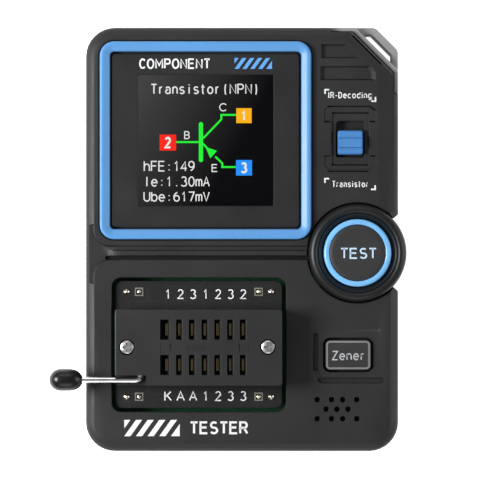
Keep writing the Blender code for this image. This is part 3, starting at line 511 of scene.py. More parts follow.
def on_spots(name, piece, spots, finish=None):
    """A copy of a piece on every spot, which is used up. The piece is modelled round the origin."""
    return copies(empty_host(name, spots), tree_named("Copies on spots", spot_tree), piece, finish, {})


# ---- finishes


def node(tree, kind, **settings):
    """A shader node with its settings; a setting named after an input fills that input."""
    made = tree.nodes.new(kind)
    for key, value in settings.items():
        if hasattr(made, key):
            setattr(made, key, value)
        else:
            made.inputs[key.replace("_", " ")].default_value = value
    return made


def base_material(name):
    """A material, its node tree, its shader and its object coordinates."""
    material = bpy.data.materials.new(name)
    material.use_nodes = True
    tree = material.node_tree
    shader = tree.nodes["Principled BSDF"]
    place = tree.nodes.new("ShaderNodeTexCoord")
    return material, tree, shader, place.outputs["Object"]


SHADER_INPUTS = {
    "base": "Base Color", "roughness": "Roughness", "metallic": "Metallic", "alpha": "Alpha",
    "specular": "Specular IOR Level", "coat": "Coat Weight", "coat_roughness": "Coat Roughness",
    "emission": "Emission Strength", "glow": "Emission Color",
}


def fill(shader, **values):
    """Fill the shader's inputs: a pattern's socket is joined, anything else is a fixed value."""
    for key, value in values.items():
        entry = shader.inputs[SHADER_INPUTS[key]]
        if isinstance(value, bpy.types.NodeSocket):
            shader.id_data.links.new(value, entry)
        else:
            entry.default_value = value


def noise(tree, place, scale, detail=2.0, stretch=None):
    """A noise pattern; stretch scales the coordinates on each axis first."""
    pattern = node(tree, "ShaderNodeTexNoise", Scale=scale, Detail=detail)
    if stretch:
        mapping = node(tree, "ShaderNodeMapping", Scale=stretch)
        link(tree, place, mapping.inputs["Vector"])
        place = mapping.outputs["Vector"]
    link(tree, place, pattern.inputs["Vector"])
    return pattern.outputs["Fac"]


def ramp(tree, factor, stops):
    """A colour ramp through (position, colour) stops."""
    made = tree.nodes.new("ShaderNodeValToRGB")
    elements = made.color_ramp.elements
    while len(elements) < len(stops):
        elements.new(0.5)
    for element, (position, colour) in zip(elements, stops):
        element.position = position
        element.color = (*colour, 1.0) if len(colour) == 3 else colour
    link(tree, factor, made.inputs["Fac"])
    return made.outputs["Color"]


def spread(tree, factor, low, high):
    """A factor turned into a range of values."""
    made = node(tree, "ShaderNodeMapRange", From_Min=0.25, From_Max=0.75, To_Min=low, To_Max=high)
    link(tree, factor, made.inputs["Value"])
    return made.outputs["Result"]


def bump(tree, shader, height, strength, distance):
    """Fine relief on a finish; distance is in metres."""
    made = node(tree, "ShaderNodeBump", Strength=strength, Distance=distance)
    link(tree, height, made.inputs["Height"])
    link(tree, made.outputs["Normal"], shader.inputs["Normal"])


def tinted(colour, share):
    """A colour made lighter or darker by a share."""
    return tuple(min(1.0, value * (1.0 + share)) for value in colour)


def worn_edges(tree, place, colour, worn, amount):
    """Lighter corners, where handling has polished the moulding."""
    rounded_off = node(tree, "ShaderNodeBevel", samples=3, Radius=0.00022)
    shape = tree.nodes.new("ShaderNodeNewGeometry")
    likeness = node(tree, "ShaderNodeVectorMath", operation="DOT_PRODUCT")
    link(tree, rounded_off.outputs["Normal"], likeness.inputs[0])
    link(tree, shape.outputs["Normal"], likeness.inputs[1])
    edge = node(tree, "ShaderNodeMapRange", From_Min=0.995, From_Max=0.8, To_Max=amount)
    link(tree, likeness.outputs["Value"], edge.inputs["Value"])
    broken = node(tree, "ShaderNodeMath", operation="MULTIPLY")
    link(tree, edge.outputs["Result"], broken.inputs[0])
    link(tree, spread(tree, noise(tree, place, 700.0), 0.4, 1.0), broken.inputs[1])
    mix = node(tree, "ShaderNodeMix", data_type="RGBA")
    link(tree, broken.outputs[0], mix.inputs["Factor"])
    link(tree, colour, mix.inputs[6])
    mix.inputs[7].default_value = (*worn, 1.0)
    return mix.outputs[2]


def moulded(name, colour, roughness=0.5, grain=0.0, wear=0.35, cloud=0.1, **fixed):
    """Moulded plastic: cloudy colour, uneven gloss, fine spark texture and worn edges."""
    material, tree, shader, place = base_material(name)
    clouds = noise(tree, place, 90.0, 3.0)
    speckle = noise(tree, place, 5200.0)
    stops = [(0.3, tinted(colour, -cloud)), (0.7, tinted(colour, cloud))]
    body = ramp(tree, clouds, stops)
    if wear:
        body = worn_edges(tree, place, body, tuple(value * 2.0 + 0.02 for value in colour), wear)
    fill(shader, base=body, roughness=spread(tree, clouds, roughness - 0.05, roughness + 0.05), **fixed)
    if grain:
        bump(tree, shader, speckle, grain, 0.00004)
    return material


def metal(name, colour, roughness=0.25, stretch=(1.0, 1.0, 1.0), scale=2500.0, **fixed):
    """Metal with fine drawn lines and a slight stain."""
    material, tree, shader, place = base_material(name)
    lines = noise(tree, place, scale, 3.0, stretch)
    stain = noise(tree, place, 300.0)
    fill(shader, base=ramp(tree, stain, [(0.3, tinted(colour, -0.12)), (0.7, tinted(colour, 0.06))]),
         roughness=spread(tree, lines, roughness - 0.08, roughness + 0.1), metallic=1.0, **fixed)
    bump(tree, shader, lines, 0.12, 0.00002)
    return material


def ink(name, colour):
    """Flat printed ink, a little uneven."""
    material, tree, shader, place = base_material(name)
    patches = noise(tree, place, 1400.0)
    fill(shader, base=ramp(tree, patches, [(0.25, tinted(colour, -0.12)), (0.6, colour)]), roughness=0.6,
         specular=0.2)
    return material


def lit(name, colour, strength):
    """A lit shape on the display, with the faint grid of its dots."""
    material, tree, shader, place = base_material(name)
    dots = node(tree, "ShaderNodeTexBrick", offset=0.0, Scale=1.0, Color1=(*colour, 1.0),
                Color2=(*tinted(colour, -0.05), 1.0), Mortar=(*tinted(colour, -0.2), 1.0),
                Mortar_Size=0.00002, Brick_Width=DOT_PITCH * MM, Row_Height=DOT_PITCH * MM)
    link(tree, place, dots.inputs["Vector"])
    fill(shader, base=(0.0, 0.0, 0.0, 1.0), roughness=0.4, specular=0.0, glow=dots.outputs["Color"],
         emission=strength)
    return material


def display_with_painted_reflection(name):
    """The display's dark ground, with a painted reflection: grey emission brightest at the upper left."""
    material, tree, shader, place = base_material(name)
    x0, x1, y0, y1 = (value * MM for value in DISPLAY[:4])
    centre = node(tree, "ShaderNodeMapping", Location=(-x0, -y1, 0.0))
    link(tree, place, centre.inputs["Vector"])
    split = tree.nodes.new("ShaderNodeSeparateXYZ")
    link(tree, centre.outputs["Vector"], split.inputs["Vector"])
    across = node(tree, "ShaderNodeMath", operation="MULTIPLY")
    across.inputs[1].default_value = 1.0 / (x1 - x0)
    link(tree, split.outputs["X"], across.inputs[0])
    down = node(tree, "ShaderNodeMath", operation="MULTIPLY_ADD")
    down.inputs[1].default_value = -0.55 / (y1 - y0)
    link(tree, split.outputs["Y"], down.inputs[0])
    link(tree, across.outputs[0], down.inputs[2])
    # Painted reflection: a grey glow that fades from the upper left towards the right and the bottom.
    glow = ramp(tree, down.outputs[0], [
        (0.0, (0.076, 0.075, 0.074)), (0.35, (0.04, 0.04, 0.04)), (0.75, (0.014, 0.014, 0.015)),
        (1.0, (0.002, 0.002, 0.003)),
    ])
    fill(shader, base=(0.002, 0.002, 0.002, 1.0), roughness=0.3, specular=0.0, glow=glow, emission=1.0)
    return material


def clear_lens(name):
    """The lens: clear, hard and faintly reflecting, with a few smears."""
    material, tree, shader, place = base_material(name)
    smears = noise(tree, place, 60.0, 4.0)
    fill(shader, base=(0.0, 0.0, 0.0, 1.0), roughness=spread(tree, smears, 0.03, 0.1), alpha=0.03,
         specular=0.5)
    return material


def board_mask(name, colour, roughness):
    """Solder mask over faint copper tracks."""
    material, tree, shader, place = base_material(name)
    tracks = node(tree, "ShaderNodeTexBrick", Scale=1.0, Mortar_Size=0.00022, Mortar_Smooth=0.3,
                  Brick_Width=0.0075, Row_Height=0.0031, Color1=(0.0, 0.0, 0.0, 1.0),
                  Color2=(0.05, 0.05, 0.05, 1.0), Mortar=(1.0, 1.0, 1.0, 1.0))
    link(tree, place, tracks.inputs["Vector"])
    tint = node(tree, "ShaderNodeMix", data_type="RGBA")
    tint.inputs[6].default_value = (*colour, 1.0)
    tint.inputs[7].default_value = (*tinted(colour, 0.18), 1.0)
    link(tree, tracks.outputs["Fac"], tint.inputs["Factor"])
    stain = noise(tree, place, 150.0)
    fill(shader, base=tint.outputs[2], specular=0.35,
         roughness=spread(tree, stain, roughness - 0.04, roughness + 0.06))
    bump(tree, shader, tracks.outputs["Fac"], 0.25, 0.00003)
    return material


def ring_with_painted_glow(name, colour):
    """The translucent ring round the test button, with a faint painted glow of its own blue."""
    material, tree, shader, place = base_material(name)
    patches = noise(tree, place, 220.0)
    body = ramp(tree, patches, [(0.3, tinted(colour, -0.08)), (0.7, tinted(colour, 0.08))])
    # Painted glow: the ring emits a faint light in its own colour, though it holds no lamp.
    fill(shader, base=body, roughness=spread(tree, patches, 0.22, 0.32), glow=body, emission=0.1, coat=0.3,
         coat_roughness=0.1)
    return material


def floor_finish(name):
    """A pale, plain floor."""
    material, tree, shader, place = base_material(name)
    shades = [(0.3, (0.93, 0.93, 0.93)), (0.7, (0.95, 0.95, 0.95))]
    fill(shader, base=ramp(tree, noise(tree, place, 3.0), shades), roughness=0.8, specular=0.1,
         glow=(1.0, 1.0, 1.0, 1.0), emission=0.85)
    return material


def wear_finish(obj, finish_name):
    """Give a piece one finish all over."""
    obj.data.materials.clear()
    obj.data.materials.append(finish(finish_name))


def fit(obj, finish_name, body, *nodes, slot=None):
    """Finish a piece, and settle its body and the CAD nodes that it stands for.

    The slot argument is not used.
    """
    if finish_name:
        wear_finish(obj, finish_name)
    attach(obj, body)
    if nodes:
        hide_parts(*nodes)


def colours():
    """The panel's colours."""
    return bpy.context.scene.tester_colours


def sizes():
    """The panel's sizes, which are held in metres."""
    return bpy.context.scene.tester_sizes


def print_thickness():
    """How thick the printed marks are."""
    return sizes().print_thickness / MM


FINISHES = {
    "casing_plastic": lambda n: moulded(n, colours().casing, 0.52, grain=0.2, wear=0.3, specular=0.35),
    "guard_plastic": lambda n: moulded(n, colours().guard, 0.42, grain=0.12, wear=0.2, cloud=0.05),
    "frame_blue": lambda n: moulded(n, colours().blue, 0.42, wear=0.05, cloud=0.04),
    "knob_blue": lambda n: moulded(n, colours().knob, 0.4, wear=0.15, cloud=0.06),
    "panel_plastic": lambda n: moulded(n, colours().panel, 0.45, grain=0.1, wear=0.0, specular=0.35),
    "button_plastic": lambda n: moulded(n, colours().button, 0.5, grain=0.25, wear=0.2, specular=0.35),
    "rim_grey": lambda n: moulded(n, (0.17, 0.17, 0.175), 0.45, wear=0.1),
    "collar_plastic": lambda n: moulded(n, colours().collar, 0.42, grain=0.1, wear=0.2, specular=0.35),
    # Near-black finish of the slabs in the groove bottoms: painted shade.
    "well_black": lambda n: moulded(n, (0.006, 0.006, 0.007), 0.5, wear=0.0, specular=0.2),
    "socket_plastic": lambda n: moulded(n, colours().socket, 0.55, grain=0.22, wear=0.25, specular=0.35),
    "inner_plastic": lambda n: moulded(n, (0.02, 0.02, 0.02), 0.5, wear=0.0),
    "lever_knob_black": lambda n: moulded(n, (0.004, 0.004, 0.004), 0.32, wear=0.0, specular=0.35, coat=0.08,
                                          coat_roughness=0.12),
    "socket_board_black": lambda n: board_mask(n, colours().board, 0.42),
    "circuit_board": lambda n: board_mask(n, (0.02, 0.12, 0.05), 0.4),
    "lever_steel": lambda n: metal(n, (0.78, 0.78, 0.79), 0.2, stretch=(0.05, 1.0, 1.0)),
    "screw_steel": lambda n: metal(n, (0.7, 0.7, 0.7), 0.32),
    "switch_steel": lambda n: metal(n, (0.5, 0.5, 0.52), 0.35, stretch=(0.1, 1.0, 1.0)),
    "port_steel": lambda n: metal(n, (0.6, 0.6, 0.6), 0.3, stretch=(1.0, 0.1, 1.0)),
    "battery_wrap": lambda n: metal(n, (0.6, 0.6, 0.62), 0.35, scale=500.0),
    "contact_brass": lambda n: metal(n, (0.6, 0.46, 0.22), 0.32, stretch=(1.0, 1.0, 0.1)),
    "pin_brass": lambda n: metal(n, (0.83, 0.81, 0.68), 0.25, scale=1500.0),
    "ir_filter": lambda n: moulded(n, (0.022, 0.02, 0.022), 0.35, wear=0.0),
    "ribbon_film": lambda n: moulded(n, (0.45, 0.25, 0.05), 0.4, wear=0.0),
    "display_glass": display_with_painted_reflection,
    "lens_glass": clear_lens,
    "ring_blue": lambda n: ring_with_painted_glow(n, colours().ring),
    "print_white": lambda n: ink(n, (0.78, 0.79, 0.8)),
    "print_light_blue": lambda n: ink(n, (0.5, 0.66, 0.82)),
    "print_grey": lambda n: ink(n, (0.42, 0.43, 0.44)),
    "print_blue": lambda n: ink(n, (0.11, 0.34, 0.72)),
    "lit_white": lambda n: lit(n, (0.85, 0.86, 0.86), 1.1),
    "lit_green": lambda n: lit(n, (0.022, 0.9, 0.045), 1.15),
    "lit_orange": lambda n: lit(n, (0.93, 0.43, 0.012), 1.22),
    "lit_red": lambda n: lit(n, (0.93, 0.024, 0.013), 1.22),
    "lit_blue": lambda n: lit(n, (0.022, 0.27, 0.95), 1.22),
    "floor": floor_finish,
}


def finish(name):
    """A finish by name, made the first time it is asked for."""
    return bpy.data.materials.get(name + "_fine") or FINISHES[name](name + "_fine")


# ---- casing

WALL = 2.0
CEILING = FACE - WALL
CHAMFER_SUM = 63.7
BODY_RADIUS = 5.8
FRAME_RADIUS = 2.9
FRAME_SEAT_GAP = 0.22
FRAME_SEAT = 20.6
COLLAR_GAP = 0.28
PORT_HALF = 5.0
PORT_HEIGHTS = (13.7, 17.9)
CHAMFER_MIDDLE = 26.35
BODY_CORNERS = [
    (-BODY_X, -BODY_Y, BODY_RADIUS), (BODY_X, -BODY_Y, BODY_RADIUS), (BODY_X, CHAMFER_SUM - BODY_X, 0.3),
    (CHAMFER_SUM - BODY_Y, BODY_Y, 0.3), (-BODY_X, BODY_Y, BODY_RADIUS),
]
FACE_SLOPE = [(0.0, FACE - 1.65), (0.1, FACE - 1.2), (0.42, FACE - 0.78), (1.45, FACE - 0.08), (1.7, FACE)]
GUARD_STEP = 0.9
GUARD_TOP_START = 17.85
GUARD_RIGHT_START = 29.15
WAIST = (30.2, -9.4, 4.1)
SCREW_SPOTS = ((-26.4, 37.8), (26.2, 28.6), (-26.6, -37.6), (26.6, -37.6))
BAY = (-26.06, 8.8, -34.5, -7.66)
FAR = 60.0
HOLE_PITCH_Y = 1.91
OUTER_HOLES = (15.04, 17.92, 20.14, 22.96)
INNER_HOLES = (16.8, 19.0, 21.2)
HOLES_Y = -33.96


def step_cutter():
    """The step round the chamfered corner where the lanyard guard sits."""
    x, y = BODY_X - GUARD_STEP, BODY_Y - GUARD_STEP
    corners = [
        (GUARD_TOP_START, y, 0.1), (CHAMFER_SUM - y, y, 0.1), (x, CHAMFER_SUM - x, 0.1),
        (x, GUARD_RIGHT_START, 0.1), (FAR, GUARD_RIGHT_START, 1.0), (FAR, FAR, 1.0),
        (GUARD_TOP_START, FAR, 1.0),
    ]
    return loft("guard_step", levels(corners, [(0.0, -2.0), (0.0, FACE + 2.0)], 2))


def waist_cutter():
    """The shallow waist in the casing's side, next to the TEST button."""
    x, low, high = WAIST
    corners = [(x, low, 0.3), (BODY_X, low - 1.0, 0.1), (FAR, low - 1.0, 1.0), (FAR, high + 0.9, 1.0),
               (BODY_X, high + 0.9, 0.1), (x, high, 0.3)]
    return loft("side_waist", levels(corners, [(0.0, -2.0), (0.0, FACE + 2.0)], 3))


def pad_gap_cutter():
    """The lower ground where the two raised pads of the face round off at the left edge."""
    corners = [
        (-33.0, -8.8, 0.1), (-29.75, -8.8, 0.1), (-29.75, -4.05, 3.3), (-24.6, -4.05, 0.1),
        (-24.6, -1.36, 0.1), (-29.75, -1.36, 3.3), (-29.75, 3.0, 0.1), (-33.0, 3.0, 0.1),
    ]
    return cutter("pad_gap", corners, FACE - 0.62, lip=0.25, draft=0.1)


def strip_of_pads():
    """The bar left standing between the two long grooves, with its sloped left end."""
    lower, upper = oblong(-26.9, 14.0, -3.3, -2.1), oblong(-25.7, 14.0, -3.25, -2.15)
    return loft("groove_bar", [at_height(lower, FACE - 1.6), at_height(lower, FACE - 0.62),
                               at_height(upper, FACE - 0.06)])


def long_grooves():
    """The two long grooves between the screen's pad and the socket's pad."""
    upper = rounded(-27.0, 14.0, -2.16, -1.36, 0.3)
    lower = rounded(-27.4, 14.0, -4.1, -3.22, 0.4)
    return [
        cutter("upper_groove", upper, FACE - 0.55, lip=0.2, draft=0.1),
        cutter("lower_groove", lower, FACE - sizes().groove_depth / MM, lip=0.1, draft=0.0),
    ]


def button_pad_grooves():
    """The L-shaped groove and the shallow dip that mark off the push button's pad."""
    left = rounded(14.25, 15.2, -26.4, -18.75, 0.45)
    bottom = [(15.0, -28.15, 0.2), (15.7, -28.75, 0.2), (28.4, -28.75, 0.3), (28.4, -27.9, 0.2),
              (27.8, -27.7, 0.2), (15.3, -27.7, 0.2)]
    corner = [(14.3, -26.2, 0.2), (15.3, -28.3, 0.4), (15.9, -27.7, 0.2), (15.15, -26.2, 0.2)]
    dip = rounded(15.9, 27.4, -18.55, -17.85, 0.28)
    return [
        cutter("pad_groove_left", left, FACE - 0.75, lip=0.12, draft=0.15),
        cutter("pad_groove_bottom", bottom, FACE - 0.75, lip=0.1, draft=0.12),
        cutter("pad_groove_corner", corner, FACE - 0.3, lip=0.2, draft=0.1),
        cutter("pad_dip", dip, FACE - 0.12, lip=0.3, draft=0.1),
    ]


def recess_cutters():
    """The two slant-ended recesses over the switch."""
    upper_top = [(15.8, 36.2), (23.6, 36.2), (21.0, 39.1), (15.8, 39.1)]
    upper_floor = [(16.2, 36.5), (22.4, 36.5), (20.4, 38.75), (16.2, 38.75)]
    lower_top = [(15.65, 31.8), (26.75, 31.8), (26.75, 33.35), (25.95, 34.7), (15.65, 34.7)]
    lower_floor = [(16.1, 32.15), (25.9, 32.15), (25.9, 33.3), (25.15, 34.35), (16.1, 34.35)]
    floor = FACE - sizes().recess_depth / MM
    return [
        wedge("upper_recess", upper_floor, upper_top, floor, FACE),
        wedge("lower_recess", lower_floor, lower_top, floor, FACE),
    ]


FINE_LINES = (
    (18.0, 25.35, 25.1, 25.48), (17.85, 25.2, 14.72, 15.08), (17.4, 25.5, 26.44, 26.76),
    (17.35, 25.4, 13.46, 13.78), (16.4, 17.6, 23.5, 23.74), (25.62, 26.75, 23.5, 23.74),
    (16.4, 17.6, 16.55, 16.77), (25.62, 26.75, 16.55, 16.8), (17.84, 18.12, 19.3, 21.4),
    (25.14, 25.34, 19.2, 20.7),
)
LINE_SLANTS = (
    [(25.5, 26.46), (26.62, 25.7), (26.82, 25.92), (25.56, 26.76)],
    [(17.4, 13.46), (17.4, 13.78), (17.1, 13.98), (16.98, 13.8)],
    [(17.4, 26.46), (17.4, 26.76), (17.05, 26.62), (17.1, 26.4)],
)
LINE_DEPTH = 0.95


def line_outlines():
    """The fine lines round the mode switch, as outlines."""
    return [oblong(*box) for box in FINE_LINES] + [list(slant) for slant in LINE_SLANTS]


def build_painted_groove_shade():
    """Near-black slabs laid in the bottoms of the fine lines and of the lower long groove: painted shade."""
    top = FACE - LINE_DEPTH + 0.25
    shade_slabs = [prism(f"lining_{i}", corners, FACE - LINE_DEPTH - 0.05, top)
               for i, corners in enumerate(line_outlines())]
    low = FACE - sizes().groove_depth / MM
    shade_slabs.append(prism("lining_groove", oblong(-27.2, 13.9, -4.05, -3.28), low - 0.05, low + 0.1))
    fit(merge("groove_linings", shade_slabs), "well_black", "casing", slot="casing_plastic")


def side_slope():
    """The long gentle slope of the face towards the right side, over the waist."""
    return loft("side_slope", [
        [(27.45, y, FACE), (28.4, y, FACE - 0.12), (31.3, y, FACE - 0.72), (33.0, y, FACE - 0.9),
         (33.0, y, FACE + 1.0), (27.45, y, FACE + 1.0)]
        for y in (5.6, 34.0)
    ])


def switch_cutters():
    """The stepped bracket, the plate and the slot round the mode switch."""
    upper = [(16.5, 23.46, 0.1), (26.75, 23.46, 0.1), (26.75, 25.5, 0.3), (25.5, 26.65, 0.5),
             (17.5, 26.65, 0.5), (16.5, 26.0, 0.3)]
    lower = [(16.5, 16.77, 0.1), (16.5, 14.7, 0.3), (17.4, 14.05, 0.5), (25.6, 14.05, 0.5),
             (26.75, 15.2, 0.3), (26.75, 16.77, 0.1)]
    plate = rounded(17.95, 25.4, 14.9, 25.3, 0.25)
    lines = [prism(f"line_{i}", corners, FACE - LINE_DEPTH, FACE + 1.0)
             for i, corners in enumerate(line_outlines())]
    slot = [(18.8, 16.45, 0.3), (24.5, 16.45, 0.3), (24.5, 23.7, 0.4), (18.8, 23.7, 0.9)]
    return [
        cutter("bracket_upper", upper, FACE - 0.22, lip=0.1, draft=0.05),
        cutter("bracket_lower", lower, FACE - 0.22, lip=0.1, draft=0.05),
        cutter("switch_plate", plate, FACE - 0.5, lip=0.12, draft=0.08),
        cutter("switch_slot", slot, CEILING - 1.0, lip=0.12, top=FACE - 0.5),
    ] + lines


def hole_spots():
    """Three staggered rows of sound holes."""
    outer = [(x, HOLES_Y + side * HOLE_PITCH_Y, 0.0) for side in (1, -1) for x in OUTER_HOLES]
    return outer + [(x, HOLES_Y, 0.0) for x in INNER_HOLES]


def sound_hole_cutter():
    """All the sound holes as one cutting body, each with a broken edge."""
    radius = sizes().hole_diameter / MM / 2
    profile = [(radius, CEILING - 1.0), (radius, FACE - 0.08), (radius + 0.1, FACE + 0.02),
               (radius + 0.1, FACE + 1.0)]
    return on_spots("sound_holes", turned("sound_hole", profile, 0.0, 0.0, steps=20), hole_spots())


def chamfer_groove():
    """The fine groove that follows the chamfered corner."""
    a, b = Vector((22.1, 40.8)), Vector((27.9, 35.0))
    side = Vector((1.0, 1.0)).normalized() * 0.22
    corners = [(*(a - side), 0.1), (*(b - side), 0.1), (*(b + side), 0.1), (*(a + side), 0.1)]
    return cutter("chamfer_groove", corners, FACE - 1.2, lip=0.14, draft=0.05, top=FACE - 0.5, steps=3)


def post(name, x, y, radius, low, high):
    """A round screw post."""
    return turned(name, [(radius, low), (radius, high)], x, y, steps=32)


def cavity(z0, z1):
    """The room inside a shell: the casing's corners drawn in by a wall."""
    x, y = BODY_X - WALL, BODY_Y - WALL
    total = CHAMFER_SUM - WALL * ROOT_2
    large, small = BODY_RADIUS - WALL, 0.3
    corners = [(-x, -y, large), (x, -y, large), (x, total - x, small), (total - y, y, small), (-x, y, large)]
    return straight("inside", corners, z0, z1)


def face_openings():
    """The seats, holes, bay and wells that the other pieces stand in."""
    gap = FRAME_SEAT_GAP
    wall = COLLAR[1] - COLLAR_X + COLLAR_GAP
    mouth = wall + 0.14
    well = [(wall, 14.0), (wall, FACE - 0.1), (mouth, FACE + 0.01), (mouth, FACE + 3.0)]
    return [
        cutter("frame_seat", rounded(*grown(FRAME, gap), FRAME_RADIUS + gap), FRAME_SEAT, lip=0.1),
        straight("lens_hole", rounded(*grown(LENS, 0.3), 0.5), CEILING - 1.0, FACE),
        cutter("socket_bay", rounded(*BAY, 1.9), CEILING - 1.0, lip=0.14),
        turned("collar_well", well, COLLAR_X, COLLAR_Y, steps=96),
        cutter("push_hole", rounded(*grown(PUSH, -0.48), 1.35), CEILING - 1.0, lip=0.1),
        straight("ir_hole", rounded(*grown(IR_WINDOW, 0.1), 0.3), CEILING - 1.0, IR_WINDOW[5]),
        straight("port_hole", rounded(-PORT_HALF, PORT_HALF, -FAR, -39.0, 0.5), *PORT_HEIGHTS),
    ]


def build_front_shell():
    """The front half of the casing with all its openings and relief."""
    low = REAR[5] + 0.3
    profile = [(0.4, low), (0.05, low + 0.35), (0.0, low + 0.7)] + FACE_SLOPE
    shell = loft("front_shell_fine", levels(BODY_CORNERS, profile))
    shell = carve(shell, [cavity(low - 1.0, CEILING)])
    posts = [post(f"post_{i}", x, y, 2.6, low + 0.2, CEILING + 0.5) for i, (x, y) in enumerate(SCREW_SPOTS)]
    shell = carve(shell, posts, "UNION")
    drills = [post(f"drill_{i}", x, y, 1.05, low - 1.0, low + 6.0) for i, (x, y) in enumerate(SCREW_SPOTS)]
    shell = carve(shell, drills + [step_cutter(), waist_cutter(), pad_gap_cutter()])
    shell = carve(shell, [strip_of_pads()], "UNION")
    cuts = face_openings() + [sound_hole_cutter(), chamfer_groove(), side_slope()]
    shell = carve(shell, long_grooves() + cuts + button_pad_grooves() + recess_cutters())
    shell = carve(shell, switch_cutters())
    fit(shell, "casing_plastic", "casing", "front_shell")


def build_rear_shell():
    """The back half of the casing with a shallow panel, its screw posts and seats."""
    top = REAR[5]
    profile = [(1.7, 0.0), (1.2, 0.06), (0.5, 0.4), (0.1, 0.95), (0.0, 1.6), (0.0, top - 0.7),
               (0.05, top - 0.35), (0.4, top)]
    shell = loft("rear_shell_fine", levels(BODY_CORNERS, profile))
    shell = carve(shell, [cavity(WALL, top + 1.0)])
    posts = [post(f"post_{i}", x, y, 3.2, WALL - 0.4, top - 0.2) for i, (x, y) in enumerate(SCREW_SPOTS)]
    shell = carve(shell, posts, "UNION")
    cuts = [step_cutter(), waist_cutter(), tongue_cutter()]
    for i, (x, y) in enumerate(SCREW_SPOTS):
        cuts.append(post(f"drill_{i}", x, y, 1.3, -1.0, top + 1.0))
        seat = [(2.55, -1.0), (2.55, -0.02), (2.4, 0.15), (2.4, 2.6)]
        cuts.append(turned(f"seat_{i}", seat, x, y, steps=40))
    shell = carve(shell, cuts + [back_panel_groove()])
    fit(shell, "casing_plastic", "casing", "rear_shell")


def tee(half):
    """Corners of a T that points in from the chamfer, from one half's (along, inward) points."""
    middle = Vector((CHAMFER_MIDDLE, CHAMFER_SUM - CHAMFER_MIDDLE))
    along, inward = Vector((1.0, -1.0)) / ROOT_2, Vector((-1.0, -1.0)) / ROOT_2
    both = half + [(-a, d) for a, d in reversed(half)]
    return [(*(middle + along * a + inward * d), 0.1) for a, d in both]


def tongue_cutter():
    """The room between the shells for the guard's tongue."""
    return straight("tongue_room", tee([(2.3, -2.0), (2.3, 2.1), (3.7, 2.1), (3.7, 4.1)]), 7.4, 12.0, 2)


def back_panel_groove():
    """A fine border groove round the flat of the back."""
    outer = rounded(-24.0, 24.0, -32.0, 32.0, 3.0)
    return loft("back_groove", levels(outer, [(0.0, -0.5), (0.0, 0.35), (0.7, 0.35), (0.7, -0.5)]), ring=True)


def cross_recess(name, x, y, radius, low, high):
    """The cross-shaped driver recess of a screw, as a cutting body."""
    wide, tip = radius * 0.66, radius * 0.2
    plus = []
    for turns in range(4):
        a = math.pi / 2 * turns
        for u, v in ((wide, -tip), (wide, tip), (tip, tip)):
            plus.append((x + u * math.cos(a) - v * math.sin(a), y + u * math.sin(a) + v * math.cos(a), 0.02))
    return loft(name, levels(plus, [(0.06, low), (0.0, high)], 1))


def build_housing_screws():
    """Pan-head screws in the back's seats."""
    for number, (x, y) in enumerate(SCREW_SPOTS, 1):
        node_name = f"housing_screw_{number}"
        low, high = limits(node_name)[4:]
        head = [(1.45, low), (1.95, low + 0.25), (2.1, low + 0.7), (2.1, low + 1.4), (1.0, low + 1.4),
                (1.0, high - 0.6), (0.3, high)]
        screw = carve(turned(f"{node_name}_fine", head, x, y, steps=40),
                      [cross_recess("driver", x, y, 2.1, low - 0.5, low + 0.75)])
        fit(screw, "screw_steel", "casing", node_name)


GUARD_OUTER_SUM = 69.2
GUARD_SLOT = (65.3, 67.0, 30.0, 41.0)


def guard_band():
    """The raised band along the guard's inner edge, level with the casing's slope."""
    x, y, top = BODY_X - GUARD_STEP + 0.1, BODY_Y - GUARD_STEP + 0.1, GUARD[5]
    edge_x, edge_y = GUARD[1] - 0.03, GUARD[3] - 0.03
    near, far = CHAMFER_SUM + 0.1, CHAMFER_SUM + 1.4
    right, left = GUARD_RIGHT_START + 0.1, GUARD_TOP_START + 0.1
    corners = [
        (x, right, 0.05), (edge_x, right, 0.05), (edge_x, far - edge_x, 0.1), (far - edge_y, edge_y, 0.1),
        (left, edge_y, 0.05), (left, y, 0.05), (near - y, y, 0.1), (x, near - x, 0.1),
    ]
    return loft("guard_rim", levels(corners, [(0.0, top - 1.0), (0.0, top + 1.36), (0.12, top + 1.6)], 3))


def build_guard():
    """The grey lanyard guard: a bar round the corner, its slot and its tongue."""
    x, y = BODY_X - GUARD_STEP + 0.08, BODY_Y - GUARD_STEP + 0.08
    out_x, out_y = GUARD[1], GUARD[3]
    total = CHAMFER_SUM + 0.1
    corners = [
        (x, GUARD_RIGHT_START + 0.05, 0.05), (out_x, GUARD_RIGHT_START + 0.05, 0.2),
        (out_x, GUARD_OUTER_SUM - out_x, 1.6), (GUARD_OUTER_SUM - out_y, out_y, 1.6),
        (GUARD_TOP_START + 0.05, out_y, 0.2), (GUARD_TOP_START + 0.05, y, 0.05),
        (total - y, y, 0.2), (x, total - x, 0.2),
    ]
    low, top = GUARD[4:]
    profile = [(0.25, low), (0.0, low + 0.3), (0.0, top - 0.3), (0.1, top - 0.08), (0.25, top)]
    guard = loft("corner_guard_fine", levels(corners, profile, 5))
    near, far, right, high = GUARD_SLOT
    slot = [(right, near - right, 0.15), (right, far - right, 0.3), (far - high, high, 0.3),
            (near - high, high, 0.15)]
    slot_body = loft("guard_slot", levels(slot, [(-0.12, low - 1.0), (0.0, low + 0.3), (0.0, top - 0.2),
                                                 (-0.15, top + 0.01), (-0.15, top + 1.0)], 5))
    guard = carve(guard, [slot_body])
    tongue = straight("guard_tongue", tee([(2.0, -0.8), (2.0, 2.4), (3.4, 2.4), (3.4, 3.8)]), 7.7, 10.3, 2)
    guard = carve(guard, [tongue, guard_band()], "UNION")
    fit(guard, "guard_plastic", "casing", "corner_guard")


# ---- screen


FRAME_BAND = 2.03
LENS_MARGIN = 1.0
TRAY_WALL = 0.8
SYMBOL_LINE = 0.38


